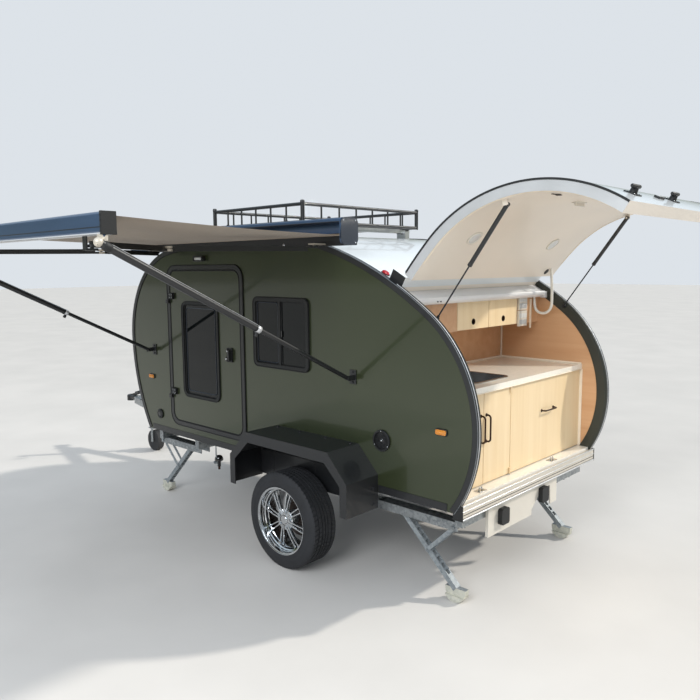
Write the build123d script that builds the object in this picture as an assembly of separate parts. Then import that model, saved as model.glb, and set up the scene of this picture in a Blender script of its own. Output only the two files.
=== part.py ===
from build123d import *
from math import atan2, cos, degrees, hypot, radians, sin, sqrt, tan
import os

os.makedirs("parts", exist_ok=True)

# Millimetres. Working axes: X forward from the wheel axle, Y left from the centreline, Z up from the ground.
# The exported frame has its origin at the centre of the tow ball, set by ball_x and ball_z.

ball_x = 3420
ball_z = 450

# Body shell
body_half_width = 750
wall_thick = 30
skin_thick = 28
body_bottom = 540
rear_most_x = -1217
rear_most_z = 950
rear_bottom_x = -1083
front_most_x = 1985
front_most_z = 1250
front_bottom_x = 1775
top_x = 450
top_z = 1985
rear_round = 730
front_round = 660
trim_proud = 5
trim_band = 26
seam_x = -720
cut_y0 = body_half_width - 50
cut_y1 = body_half_width + 50

# Hatch
hatch_thick = 55
hatch_gap = 11
hatch_tail_z = 655
hatch_open_angle = 82
hinge_out = 70

# Wheels
tyre_radius = 288
tyre_width = 195
rim_flange_radius = 206
wheel_gap = 24
hub_bore = 30
bore_play = 0.05

# Openings in the side walls
door_front_x = 1465
door_rear_x = 567
door_bottom = 621
door_top = 1798
door_corner = 95
door_frame_face = 34
door_gap = 6
window_front_x = 465
window_rear_x = -50
window_bottom = 1150
window_top = 1594

# Galley
galley_front = -1040
bulkhead_x = -450
step_z = 600
worktop_z = 1140
cabinet_front = -730
cabinet_bottom = 1400
board = 18

# Chassis
rail_top = 540
rail_height = 100
rail_width = 50
rail_y = 450

# Corner steadies
steady_y = body_half_width - 150
steady_arm = 250
steady_angle = 44
steady_rear_foot = -1005
steady_front_foot = 1790

# Awning
awning_rear = -440
awning_front = 1720
arm_length = 790
arm_angle = 55.5
arm_y = body_half_width + 80
arm_z = 1880
shoulder_rear_x = -180
leg_rear_x = -400
leg_front_x = 1668
leg_foot_y = body_half_width + 50
leg_foot_z = 1165
leg_head_out = 22


def block(x0, x1, y0, y1, z0, z1):
    return Pos((x0 + x1) / 2, (y0 + y1) / 2, (z0 + z1) / 2) * Box(abs(x1 - x0), abs(y1 - y0), abs(z1 - z0))


def rod(start, end, radius):
    a = Vector(*start)
    b = Vector(*end)
    way = b - a
    return Solid.make_cylinder(radius, way.length, Plane(origin=a, z_dir=way.normalized()))


def pipe(start, end, radius, bore):
    return rod(start, end, radius) - rod(start, end, bore)


def bar(start, end, wide, high):
    a = Vector(*start)
    b = Vector(*end)
    way = b - a
    level = Vector(-way.Y, way.X, 0)
    if level.length < 0.001:
        level = Vector(0, 1, 0)
    plane = Plane(origin=a, x_dir=level.normalized(), z_dir=way.normalized())
    return extrude(plane * Rectangle(wide, high), amount=way.length)


def slab_xz(points, y0, y1):
    edges = Polyline(*[(x, y0, z) for x, z in points], close=True)
    return extrude(make_face(edges), amount=abs(y1 - y0), dir=(0, 1 if y1 > y0 else -1, 0))


def round_window(x0, x1, z0, z1, y0, y1, corner):
    face = RectangleRounded(abs(x1 - x0), abs(z1 - z0), corner)
    face = Plane.XZ.offset(-y0) * Pos((x0 + x1) / 2, (z0 + z1) / 2) * face
    return extrude(face, amount=abs(y1 - y0), dir=(0, 1 if y1 > y0 else -1, 0))


def slab_yz(points, x0, x1):
    edges = Polyline(*[(x0, y, z) for y, z in points], close=True)
    return extrude(make_face(edges), amount=abs(x1 - x0), dir=(1 if x1 > x0 else -1, 0, 0))


def round_pad(x0, x1, y0, y1, z0, z1, corner):
    face = RectangleRounded(x1 - x0, y1 - y0, corner)
    face = Plane.XY.offset(z0) * Pos((x0 + x1) / 2, (y0 + y1) / 2) * face
    return extrude(face, amount=z1 - z0)


def round_beam(x0, x1, y0, y1, z0, z1, corner):
    face = RectangleRounded(y1 - y0, z1 - z0, corner)
    face = Plane.YZ.offset(x0) * Pos((y0 + y1) / 2, (z0 + z1) / 2) * face
    return extrude(face, amount=x1 - x0)


def bow(points, radius, corner):
    path = FilletPolyline(*points, radius=corner)
    return sweep(Plane(origin=path @ 0, z_dir=path % 0) * Circle(radius), path=path)


def mirrored(shape):
    return mirror(shape, Plane.XZ)


def together(*shapes):
    solids = []
    for shape in shapes:
        if isinstance(shape, (list, tuple)):
            for each in shape:
                solids.extend(each.solids())
        else:
            solids.extend(shape.solids())
    return Compound(children=solids) if len(solids) > 1 else solids[0]


def save(name, shape):
    moved = Pos(-ball_x, 0, -ball_z) * shape
    export_step(moved, "parts/" + name + ".step")


# Side outline: a closed row of tangent arcs, each place on it named by the angle of its outward normal.
def tangent_radius(run, rise, small):
    return ((run - small) ** 2 + rise ** 2 - small ** 2) / (2 * (rise - small))


rear_top_round = tangent_radius(top_x - rear_most_x, top_z - rear_most_z, rear_round)
front_top_round = tangent_radius(front_most_x - top_x, top_z - front_most_z, front_round)
rear_low_drop = rear_most_z - body_bottom
rear_low_run = rear_bottom_x - rear_most_x
rear_low_round = (rear_low_drop ** 2 + rear_low_run ** 2) / (2 * rear_low_run)
front_low_drop = front_most_z - body_bottom
front_low_run = front_most_x - front_bottom_x
front_low_round = (front_low_drop ** 2 + front_low_run ** 2) / (2 * front_low_run)
rear_join = degrees(atan2(rear_most_z - (top_z - rear_top_round), rear_most_x + rear_round - top_x))
front_join = degrees(atan2(front_most_z - (top_z - front_top_round), front_most_x - front_round - top_x))

# Columns: first normal angle, last normal angle, centre x, centre z, radius
arcs = [
    (270, 180, rear_most_x + rear_low_round, rear_most_z, rear_low_round),
    (180, rear_join, rear_most_x + rear_round, rear_most_z, rear_round),
    (rear_join, 90, top_x, top_z - rear_top_round, rear_top_round),
    (90, front_join, top_x, top_z - front_top_round, front_top_round),
    (front_join, 0, front_most_x - front_round, front_most_z, front_round),
    (0, -90, front_most_x - front_low_round, front_most_z, front_low_round),
]


def on_arc(arc, angle, out):
    reach = arc[4] + out
    return (arc[2] + reach * cos(radians(angle)), arc[3] + reach * sin(radians(angle)))


def outline_point(angle, out=0.0):
    for arc in arcs:
        if arc[0] >= angle >= arc[1]:
            return on_arc(arc, angle, out)


def rear_angle_at_z(z, out=0.0):
    arc = arcs[0]
    drop = (z - arc[3]) / (arc[4] + out)
    return 180 + degrees(atan2(-drop, sqrt(1 - drop ** 2)))


def front_angle_at_z(z, out=0.0):
    arc = arcs[5]
    drop = (z - arc[3]) / (arc[4] + out)
    return degrees(atan2(drop, sqrt(1 - drop ** 2)))


def top_angle_at_x(x, out=0.0):
    arc = arcs[2]
    run = (x - arc[2]) / (arc[4] + out)
    return degrees(atan2(sqrt(1 - run ** 2), run))


def run_edges(start, end, out, y):
    edges = []
    for arc in arcs:
        first = min(start, arc[0])
        last = max(end, arc[1])
        if first - last > 0.01:
            places = [on_arc(arc, angle, out) for angle in (first, (first + last) / 2, last)]
            edges.append(ThreePointArc(*[(x, y, z) for x, z in places]))
    return edges


def band(start, end, inner, outer, y0, y1):
    outside = run_edges(start, end, outer, y0)
    inside = run_edges(start, end, inner, y0)
    a0 = outline_point(start, outer)
    a1 = outline_point(start, inner)
    b0 = outline_point(end, outer)
    b1 = outline_point(end, inner)
    ends = [Line((a0[0], y0, a0[1]), (a1[0], y0, a1[1])), Line((b0[0], y0, b0[1]), (b1[0], y0, b1[1]))]
    face = Face(Wire(outside + inside + ends))
    return extrude(face, amount=abs(y1 - y0), dir=(0, 1 if y1 > y0 else -1, 0))


def filled(out, bottom, y0, y1):
    start = rear_angle_at_z(bottom, out)
    end = front_angle_at_z(bottom, out)
    edges = run_edges(start, end, out, y0)
    a = outline_point(start, out)
    b = outline_point(end, out)
    face = Face(Wire(edges + [Line((a[0], y0, a[1]), (b[0], y0, b[1]))]))
    return extrude(face, amount=abs(y1 - y0), dir=(0, 1 if y1 > y0 else -1, 0))


inner_y = body_half_width - wall_thick
rear_bottom_angle = rear_angle_at_z(body_bottom)
front_bottom_angle = front_angle_at_z(body_bottom)
seam_angle = top_angle_at_x(seam_x)
front_split_angle = 52

# Walls with the door and window openings
door_shape = round_window(door_rear_x, door_front_x, door_bottom, door_top, cut_y0, cut_y1, door_corner)
window_shape = round_window(window_rear_x + 14, window_front_x - 14, window_bottom + 14, window_top - 14,
                            cut_y0, cut_y1, 30)
wall = filled(0, body_bottom, inner_y, body_half_width) - door_shape - window_shape
strut_y = inner_y - 30
stud_x, stud_z = -928, 1512
wall = wall + rod((stud_x, strut_y + 8, stud_z), (stud_x, inner_y + 4, stud_z), 8)
save("body_walls", together(wall, mirrored(wall)))

# Roof and front skins between the walls, butted at the front split
roof = band(seam_angle, front_split_angle, -skin_thick, 0, -inner_y, inner_y)
front_skin = band(front_split_angle, front_angle_at_z(body_bottom + 35), -skin_thick, 0, -inner_y, inner_y)
save("body_skins", together(roof, front_skin))

# Floor
floor_rear = outline_point(rear_angle_at_z(body_bottom))[0]
floor_front = outline_point(front_bottom_angle)[0]
floor = block(floor_rear, floor_front, -inner_y, inner_y, body_bottom, body_bottom + 35)
save("floor", floor)

# Edge trims round each wall
trims = []
for side in (1, -1):
    outer_y = side * (body_half_width + trim_proud)
    inner_edge = side * (body_half_width - 24)
    band_y = side * body_half_width
    cap = band(rear_bottom_angle, front_bottom_angle, 0, trim_proud, inner_edge, outer_y)
    face = band(rear_bottom_angle, front_bottom_angle, -trim_band, 0, band_y, outer_y)
    trims.append((cap + face).solid())

# Skirt strips along the foot of each wall
for side in (1, -1):
    y0 = side * body_half_width
    y1 = side * (body_half_width + 3)
    trims.append(block(floor_rear + 40, -584, y0, y1, body_bottom, body_bottom + 42))
    trims.append(block(500, floor_front - 40, y0, y1, body_bottom, body_bottom + 42))
save("edge_trims", together(trims))

# Door frames, leaves and glass
frame_outer = round_window(door_rear_x + 0.5, door_front_x - 0.5, door_bottom + 0.5, door_top - 0.5,
                           inner_y, body_half_width + 6, door_corner)
leaf_rear = door_rear_x + door_frame_face
leaf_front = door_front_x - door_frame_face
leaf_bottom = door_bottom + door_frame_face
leaf_top = door_top - door_frame_face
leaf_corner = door_corner - door_frame_face + 8
frame_inner = round_window(leaf_rear, leaf_front, leaf_bottom, leaf_top, cut_y0, cut_y1, leaf_corner)
door_frame = frame_outer - frame_inner
hinge_x = leaf_front + 2
hinge_y = body_half_width + 18
leaf_y = body_half_width + 4
pane_y0 = body_half_width - 6
pane_y1 = body_half_width - 1
hinge_zs = (860, 1560)
hinge_half = 38
for z in hinge_zs:
    ear = block(hinge_x, door_front_x - 8, body_half_width, hinge_y + 7, z - hinge_half, z - 9)
    door_frame = door_frame + ear + rod((hinge_x, hinge_y, z - hinge_half), (hinge_x, hinge_y, z - 9), 7)
    door_frame = door_frame - rod((hinge_x, hinge_y, z - hinge_half - 1), (hinge_x, hinge_y, z - 8), 3)
door_frame = door_frame.solid()
save("door_frames", together(door_frame, mirrored(door_frame)))

glass_rear = 862
glass_front = 1257
glass_bottom = 875
glass_top = 1521
leaf = round_window(leaf_rear + door_gap, leaf_front - door_gap, leaf_bottom + door_gap,
                    leaf_top - door_gap, inner_y + 2, leaf_y, leaf_corner - door_gap)
leaf = leaf - round_window(glass_rear, glass_front, glass_bottom, glass_top, cut_y0, cut_y1, 40)
window_frame = round_window(glass_rear - 22, glass_front + 22, glass_bottom - 22, glass_top + 22, leaf_y,
                            leaf_y + 8, 58)
window_frame = window_frame - round_window(glass_rear, glass_front, glass_bottom, glass_top, cut_y0,
                                           cut_y1, 40)
leaf = leaf + window_frame
for z in hinge_zs:
    ear = block(leaf_front - 60, hinge_x, leaf_y + 4, hinge_y + 4, z - 7, z + hinge_half)
    ear = ear + block(leaf_front - 60, leaf_front - 10, leaf_y, leaf_y + 6, z - 7, z + hinge_half)
    leaf = leaf + ear + rod((hinge_x, hinge_y, z - 7), (hinge_x, hinge_y, z + hinge_half), 7)
    leaf = leaf + rod((hinge_x, hinge_y, z - hinge_half + 4), (hinge_x, hinge_y, z - 6), 2.95)
lock = block(692, 748, leaf_y, leaf_y + 10, 1150, 1244)
lock = lock + block(700, 716, leaf_y + 10, leaf_y + 28, 1160, 1232)
leaf = (leaf + lock).solid()
glass = round_window(glass_rear + 0.3, glass_front - 0.3, glass_bottom + 0.3, glass_top - 0.3,
                     pane_y0, pane_y1, 39.7)
save("door_left", together(leaf, glass))
save("door_right", together(mirrored(leaf), mirrored(glass)))

# Side windows
window_outer = round_window(window_rear_x, window_front_x, window_bottom, window_top, body_half_width,
                            body_half_width + 12, 42)
window_plug = round_window(window_rear_x + 14.3, window_front_x - 14.3, window_bottom + 14.3,
                           window_top - 14.3, inner_y, body_half_width, 29.7)
pane_hole = round_window(window_rear_x + 26, window_front_x - 26, window_bottom + 26, window_top - 26,
                         cut_y0, cut_y1, 22)
mullion_x = 213
mullion = block(mullion_x - 11, mullion_x + 11, body_half_width - 12, body_half_width + 10,
                window_bottom + 20, window_top - 20)
side_window = ((window_outer + window_plug) - pane_hole + mullion).solid()
save("side_windows", together(side_window, mirrored(side_window)))
pane = round_window(window_rear_x + 26.3, window_front_x - 26.3, window_bottom + 26.3, window_top - 26.3,
                    pane_y0, pane_y1, 21.7)
panes = (pane - block(mullion_x - 11.3, mullion_x + 11.3, cut_y0, cut_y1, window_bottom,
                      window_top)).solids()
save("side_panes", together(panes, [mirrored(pane) for pane in panes]))

# Lamps on the walls and roof edges. Columns: x, z, half length, half height, depth
lamp_table = [
    (1721, 954, 32, 13, 12),
    (-1006, 946, 32, 13, 12),
    (1030, 1839, 55, 16, 26),
]
lamps = []
for x, z, half_long, half_high, deep in lamp_table:
    lamp = round_window(x - half_long, x + half_long, z - half_high, z + half_high, body_half_width,
                        body_half_width + deep, 9)
    lamps.extend([lamp, mirrored(lamp)])
save("side_lamps", together(lamps))

# Round vents and the inlet on the walls. Columns: x, z, radius, depth
vent_table = [(-610, 837, 58, 12), (1622, 673, 36, 9)]
vents = []
for x, z, radius, deep in vent_table:
    vent = rod((x, body_half_width, z), (x, body_half_width + deep, z), radius)
    vent = vent - rod((x, body_half_width + 3, z), (x, cut_y1, z), radius - 10)
    vents.extend([vent, mirrored(vent)])
save("wall_vents", together(vents))

# Galley: bulkhead, lower carcass, step, worktop, sink and upper cabinet
bulkhead_top = outline_point(top_angle_at_x(bulkhead_x + 18, -skin_thick), -skin_thick)[1]
bulkhead = block(bulkhead_x, bulkhead_x + board, -inner_y, inner_y, body_bottom + 35, bulkhead_top - 8)

step_rear = outline_point(rear_angle_at_z(step_z - 10))[0] + 4
step = block(step_rear, bulkhead_x, -inner_y, inner_y, body_bottom + 35, step_z)
pivot_x = galley_front - 4
pivot_ys = (inner_y - 11, 150)
for y in pivot_ys:
    step = step + rod((pivot_x, y, step_z), (pivot_x, y, step_z + 26), 3)
save("galley_step", step)

door_split = 418
drawer_split = 142
carcass_top = worktop_z - 32
carcass = block(galley_front + board + 4, bulkhead_x, -inner_y, inner_y, step_z, carcass_top)
left_bay = block(galley_front, bulkhead_x - board, drawer_split + board / 2, inner_y - board,
                 step_z + board, carcass_top + 1)
right_bay = block(galley_front, bulkhead_x - board, -inner_y + board, drawer_split - board / 2,
                  step_z + board, carcass_top + 1)
carcass = carcass - left_bay - right_bay
runner_y0 = -inner_y + board
runner_y1 = drawer_split - board / 2
box_y0 = runner_y0 + 12
box_y1 = runner_y1 - 32
for y0, y1 in ((runner_y0, box_y0 - 0.3), (box_y1 + 0.3, runner_y1)):
    carcass = carcass + block(galley_front + board + 12, bulkhead_x - board, y0, y1, 760, 800)

sink_x0, sink_x1 = -960, -640
sink_y0, sink_y1 = 40, 400
sink_corner = 46
worktop = block(galley_front - 12, bulkhead_x, -inner_y, inner_y, carcass_top, worktop_z)
worktop = worktop - round_pad(sink_x0, sink_x1, sink_y0, sink_y1, 1000, 1200, sink_corner)
for y in pivot_ys:
    worktop = worktop + rod((pivot_x, y, carcass_top - 24), (pivot_x, y, carcass_top), 3)
carcass = carcass - block(sink_x0 - 1, sink_x1 + 1, sink_y0 - 1, sink_y1 + 1, worktop_z - 122, worktop_z)
bowl = None
for inset, z0, z1 in ((-16, worktop_z, worktop_z + 4), (1, worktop_z - 120, worktop_z)):
    layer = round_pad(sink_x0 + inset, sink_x1 - inset, sink_y0 + inset, sink_y1 - inset, z0, z1,
                      sink_corner - inset)
    bowl = layer if bowl is None else bowl + layer
bowl = bowl - round_pad(sink_x0 + 3, sink_x1 - 3, sink_y0 + 3, sink_y1 - 3, worktop_z - 118,
                        worktop_z + 9, sink_corner - 3)
save("worktop", together(worktop, bowl.solid()))

cabinet_split = -110
flap_right = -445
flap_left = 225
cabinet_top = 1580
cabinet = block(cabinet_front + board + 4, bulkhead_x, -inner_y, inner_y, cabinet_bottom, cabinet_top)
for y0, y1 in ((flap_right + 9, cabinet_split - 9), (cabinet_split + 9, flap_left - 9),
               (flap_left + 9, inner_y - board)):
    cabinet = cabinet - block(cabinet_front, bulkhead_x - board, y0, y1, cabinet_bottom + board,
                              cabinet_top - board)
flap_pivot_x = cabinet_front + 4
flap_pivot_z = cabinet_top - 9
flap_gap = 2.6
for y0, y1 in ((-inner_y, flap_right - flap_gap), (flap_left + flap_gap, inner_y)):
    cabinet = cabinet + block(cabinet_front, cabinet_front + board + 5, y0, y1, cabinet_bottom, cabinet_top)
cabinet = cabinet + block(cabinet_front, cabinet_front + board + 5, cabinet_split - 1.6,
                          cabinet_split + 1.6, flap_pivot_z - 8, cabinet_top)
for y in (flap_right, cabinet_split, flap_left):
    cabinet = cabinet + rod((flap_pivot_x, y - 14, flap_pivot_z), (flap_pivot_x, y + 14, flap_pivot_z),
                            2.5 - bore_play)
save("galley_units", together(bulkhead, carcass, cabinet.solid()))

# Moving fronts of the galley
front_face = galley_front
door_low = step_z + 6
door_high = carcass_top - 5
gap = 2.6
handle_in, handle_out, handle_radius, handle_corner = 6, 27, 5, 16
handle_mid, handle_half = 910, 72
fronts = [("galley_door_left", door_split + gap, inner_y - gap - 3, door_split + 26, pivot_ys[0]),
          ("galley_door_right", drawer_split + gap, door_split - gap, door_split - 26, pivot_ys[1])]
for name, y0, y1, handle_y, pivot_y in fronts:
    panel = block(front_face, front_face + board - 1, y0, y1, door_low, door_high)
    for z in (door_low, door_high - 34):
        panel = panel + rod((pivot_x, pivot_y, z), (pivot_x, pivot_y, z + 34), 6.5)
    for z in (door_low - 1, door_high - 30):
        panel = panel - rod((pivot_x, pivot_y, z), (pivot_x, pivot_y, z + 31), 3 + bore_play)
    low_z = handle_mid - handle_half
    high_z = handle_mid + handle_half
    handle = bow([(front_face + handle_in, handle_y, low_z), (front_face - handle_out, handle_y, low_z),
                  (front_face - handle_out, handle_y, high_z), (front_face + handle_in, handle_y, high_z)],
                 handle_radius, handle_corner)
    save(name, (panel + handle).solid())

drawer = block(front_face, front_face + board - 1, -inner_y + 5, drawer_split - gap, door_low, door_high)
box_rear = bulkhead_x - board - 40
box = block(front_face + board - 1, box_rear, box_y0, box_y1, step_z + board + 12, 960)
box = box - block(front_face + board - 1, box_rear - 12, box_y0 + 12, box_y1 - 12, step_z + board + 24, 961)
drawer = drawer + box
handle_y = (drawer_split - inner_y) / 2
pull = bow([(front_face + handle_in, handle_y - handle_half, handle_mid),
            (front_face - handle_out, handle_y - handle_half, handle_mid),
            (front_face - handle_out, handle_y + handle_half, handle_mid),
            (front_face + handle_in, handle_y + handle_half, handle_mid)], handle_radius, handle_corner)
drawer = (drawer + pull).solid()
save("galley_drawer", drawer)

flaps = [("flap_left", cabinet_split + gap, flap_left - gap),
         ("flap_right", flap_right + gap, cabinet_split - gap)]
for name, y0, y1 in flaps:
    panel = block(cabinet_front, cabinet_front + board - 1, y0, y1, cabinet_bottom + 3, cabinet_top - 3)
    panel = panel - rod((cabinet_front - 5, (y0 + y1) / 2, 1447),
                        (cabinet_front + 30, (y0 + y1) / 2, 1447), 15)
    panel = panel - rod((flap_pivot_x, y0 - 1, flap_pivot_z), (flap_pivot_x, y0 + 13, flap_pivot_z), 2.5)
    panel = panel - rod((flap_pivot_x, y1 - 13, flap_pivot_z), (flap_pivot_x, y1 + 1, flap_pivot_z), 2.5)
    save(name, panel)

# Header across the rear of the roof, with the raised hinge cover
head_out = hinge_out - 12
cover_y = body_half_width - 25
cover = band(seam_angle + 0.1, seam_angle - 2.2, 0.3, head_out, -cover_y, cover_y)
header = band(seam_angle + 1.9, seam_angle - 1.6, -skin_thick - 22, -skin_thick - 0.5, -inner_y, inner_y)

# Hatch, built closed and turned open about its hinge; lugs share one pin line with the cover on the roof
hinge_at = outline_point(seam_angle, hinge_out)
tail_angle = rear_angle_at_z(hatch_tail_z)
hatch_y = body_half_width + 4
hatch_start = seam_angle + 0.35
hatch_out = hatch_gap + hatch_thick
shell = band(tail_angle, hatch_start, hatch_gap, hatch_out, -hatch_y, hatch_y)
shell = shell - band(tail_angle - 2, hatch_start + 2, hatch_gap + 10, hatch_out - 8, -hatch_y + 10,
                     hatch_y - 10)
lug_half = 40
lug_ys = (-560, 0, 560)
for y in lug_ys:
    shell = shell + band(seam_angle + 1.8, seam_angle + 0.02, hatch_out - 2, hatch_out + 6, y - lug_half,
                         y + lug_half)
    shell = shell + rod((hinge_at[0], y - lug_half, hinge_at[1]),
                        (hinge_at[0], y + lug_half, hinge_at[1]), 8)
    shell = shell - rod((hinge_at[0], y - lug_half - 1, hinge_at[1]),
                        (hinge_at[0], y + lug_half + 1, hinge_at[1]), 4 + bore_play)
    for y0, y1 in ((y - lug_half - 32, y - lug_half - 2), (y + lug_half + 2, y + lug_half + 32)):
        cover = cover + band(seam_angle - 0.02, seam_angle - 1.8, head_out - 3, hinge_out + 5, y0, y1)
        cover = cover + rod((hinge_at[0], y0, hinge_at[1]), (hinge_at[0], y1, hinge_at[1]), 8)
    cover = cover + rod((hinge_at[0], y - lug_half - 10, hinge_at[1]),
                        (hinge_at[0], y + lug_half + 10, hinge_at[1]), 4)
save("hatch_header", together(header, cover.solid()))


def open_hatch(shape):
    about_hinge = Pos(hinge_at[0], 0, hinge_at[1])
    return about_hinge * Rot(0, hatch_open_angle, 0) * about_hinge.inverse() * shape


def when_open(x, z):
    swing = radians(hatch_open_angle)
    dx = x - hinge_at[0]
    dz = z - hinge_at[1]
    return (hinge_at[0] + dx * cos(swing) + dz * sin(swing),
            hinge_at[1] - dx * sin(swing) + dz * cos(swing))


# Gas struts: thick cylinder on the hatch, thin rod towards a stud on the wall
ball_closed_x, ball_closed_z = -1156, 1215
ball_angle = degrees(atan2(ball_closed_z - arcs[1][3], ball_closed_x - arcs[1][2]))
reach = outline_point(ball_angle, hatch_gap + 4)
for side in (1, -1):
    bracket_y = side * (strut_y + 14)
    bracket = bar((ball_closed_x + 4, bracket_y, ball_closed_z), (reach[0], bracket_y, reach[1]), 6, 26)
    stud = rod((ball_closed_x, side * (strut_y - 12), ball_closed_z),
               (ball_closed_x, side * (strut_y + 16), ball_closed_z), 5)
    shell = shell + bracket + stud
shell = shell.solid()
save("hatch_panel", open_hatch(shell))

ball_open_x, ball_open_z = when_open(ball_closed_x, ball_closed_z)
strut_length = hypot(stud_x - ball_open_x, stud_z - ball_open_z)
strut_x = (stud_x - ball_open_x) / strut_length
strut_z = (stud_z - ball_open_z) / strut_length


def along_strut(distance, side):
    return (ball_open_x + strut_x * distance, side * strut_y, ball_open_z + strut_z * distance)


cylinder_length = 345
rod_inside = 30
for side, name in ((1, "left"), (-1, "right")):
    tube = rod(along_strut(8, side), along_strut(cylinder_length, side), 11)
    tube = tube + rod((ball_open_x, side * (strut_y - 8), ball_open_z),
                      (ball_open_x, side * (strut_y + 8), ball_open_z), 11)
    tube = tube - rod((ball_open_x, side * (strut_y - 9), ball_open_z),
                      (ball_open_x, side * (strut_y + 9), ball_open_z), 5 + bore_play)
    tube = tube - rod(along_strut(16, side), along_strut(cylinder_length + 5, side), 4 + bore_play)
    save("strut_cylinder_" + name, tube.solid())
    inner = rod(along_strut(cylinder_length - rod_inside, side), along_strut(strut_length - 10, side), 4)
    end = along_strut(strut_length, side)
    eye = rod((end[0], side * (strut_y - 6), end[2]), (end[0], side * (strut_y + 6), end[2]), 11)
    save("strut_rod_" + name, (inner + eye).solid())

# Wheels: tyre, rim with its spokes, hub and brake disc
wheel_inner = body_half_width + wheel_gap
wheel_mid = wheel_inner + tyre_width / 2
wheel_outer = wheel_inner + tyre_width
rim_bead = rim_flange_radius - 14


def turned(points, side):
    edges = Polyline(*[(0, y, radius) for radius, y in points], close=True)
    shape = revolve(make_face(edges), Axis.Y, 360)
    shape = Pos(0, 0, tyre_radius) * shape
    return shape if side > 0 else mirrored(shape)


tread_half = tyre_width / 2 - 16
# Columns: radius, y
tyre_points = [
    (rim_bead + 1, wheel_inner + 12), (rim_flange_radius + 4, wheel_inner + 3),
    (rim_flange_radius + 38, wheel_inner), (tyre_radius - 14, wheel_inner + 6),
    (tyre_radius, wheel_mid - tread_half), (tyre_radius, wheel_mid + tread_half),
    (tyre_radius - 14, wheel_outer - 6), (rim_flange_radius + 38, wheel_outer),
    (rim_flange_radius + 4, wheel_outer - 3), (rim_bead + 1, wheel_outer - 12),
    (rim_bead + 1, wheel_outer - 26), (rim_flange_radius + 34, wheel_outer - 12),
    (tyre_radius - 22, wheel_outer - 20), (tyre_radius - 22, wheel_inner + 20),
    (rim_flange_radius + 34, wheel_inner + 12), (rim_bead + 1, wheel_inner + 26),
]
# Columns: radius, y
rim_points = [
    (rim_bead, wheel_inner + 6), (rim_bead + 10, wheel_inner + 5),
    (rim_bead + 10, wheel_inner + 1), (rim_bead - 4, wheel_inner + 1),
    (rim_bead - 5, wheel_inner + 30), (rim_bead - 20, wheel_inner + 44),
    (rim_bead - 20, wheel_outer - 40), (rim_bead - 11, wheel_outer - 34),
    (rim_bead - 10, wheel_outer - 24), (rim_bead - 6, wheel_outer - 21),
    (rim_bead - 4, wheel_outer - 2), (rim_bead + 10, wheel_outer - 1),
    (rim_bead + 10, wheel_outer - 5), (rim_bead, wheel_outer - 6),
    (rim_bead, wheel_outer - 32), (rim_bead - 12, wheel_outer - 46),
    (rim_bead - 12, wheel_inner + 48), (rim_bead, wheel_inner + 34),
]
spoke_count = 8


def wheel_point(angle, reach, across, y):
    x = reach * cos(angle) - across * sin(angle)
    z = reach * sin(angle) + across * cos(angle)
    return (x, y, tyre_radius + z)


hub_face = wheel_outer - 62
stub_radius = 17
for side, name in ((1, "left"), (-1, "right")):
    save("tyre_" + name, turned(tyre_points, side))
    rim = turned(rim_points, 1)
    centre = rod((0, hub_face, tyre_radius), (0, hub_face + 26, tyre_radius), 62)
    rim = rim + centre
    for index in range(spoke_count):
        angle = radians(360 / spoke_count * index + 12)
        for twin in (-1, 1):
            root = wheel_point(angle, 40, twin * 9, hub_face + 13)
            tip = wheel_point(angle, rim_bead - 14, twin * 15, hub_face + 24)
            rim = rim + bar(root, tip, 11, 22)
    rim = rim - rod((0, hub_face - 1, tyre_radius), (0, hub_face + 40, tyre_radius), hub_bore)
    hub = rod((0, wheel_inner + 18, tyre_radius), (0, hub_face - 0.3, tyre_radius), 42)
    hub = hub + rod((0, hub_face - 14, tyre_radius), (0, hub_face - 0.3, tyre_radius), 60)
    hub = hub + rod((0, hub_face - 0.3, tyre_radius), (0, hub_face + 24, tyre_radius), hub_bore - 0.3)
    hub = hub + rod((0, wheel_inner + 34, tyre_radius), (0, wheel_inner + 44, tyre_radius), 128)
    hub = hub - rod((0, wheel_inner, tyre_radius), (0, hub_face - 20, tyre_radius), stub_radius + bore_play)
    wheel_parts = [rim.solid(), hub.solid()]
    save("rim_" + name, together(wheel_parts if side > 0 else [mirrored(each) for each in wheel_parts]))

# Axle: square beam under the floor, leading arms and stub shafts
beam_x = 190
arm_mid_y = body_half_width - 28
axle = block(beam_x - 35, beam_x + 35, -cut_y0, cut_y0, 400, 440)
for side in (1, -1):
    axle = axle + bar((beam_x, side * arm_mid_y, 420), (-6, side * arm_mid_y, tyre_radius), 40, 52)
    axle = axle + block(beam_x - 35, beam_x + 35, side * (arm_mid_y - 32), side * (arm_mid_y + 20),
                        396, 444)
    axle = axle + rod((0, side * (arm_mid_y - 20), tyre_radius),
                      (0, side * (arm_mid_y + 30), tyre_radius), 34)
    axle = axle + rod((0, side * (arm_mid_y + 20), tyre_radius), (0, side * (hub_face - 22), tyre_radius),
                      stub_radius)
save("axle", axle.solid())

# Chassis: two long rails, cross members, drawbar and the rails of the corner steadies
rail_bottom = rail_top - rail_height
chassis_rear = -1082
member_y = body_half_width - 78
chassis = block(chassis_rear, 1775, rail_y - rail_width / 2, rail_y + rail_width / 2, rail_bottom, rail_top)
chassis = chassis + mirrored(chassis)
for x in (chassis_rear + 22, -470, 190, 1270, 1755):
    chassis = chassis + block(x - 22, x + 22, -member_y, member_y, rail_bottom, rail_top)
nose_x = ball_x - 180
for side in (1, -1):
    chassis = chassis + bar((1380, side * (rail_y + 8), rail_bottom + 32),
                            (nose_x, side * 34, rail_bottom + 32), 60, 62)
chassis = chassis + block(nose_x - 90, nose_x + 6, -64, 64, rail_bottom + 1, rail_bottom + 63)

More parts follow.
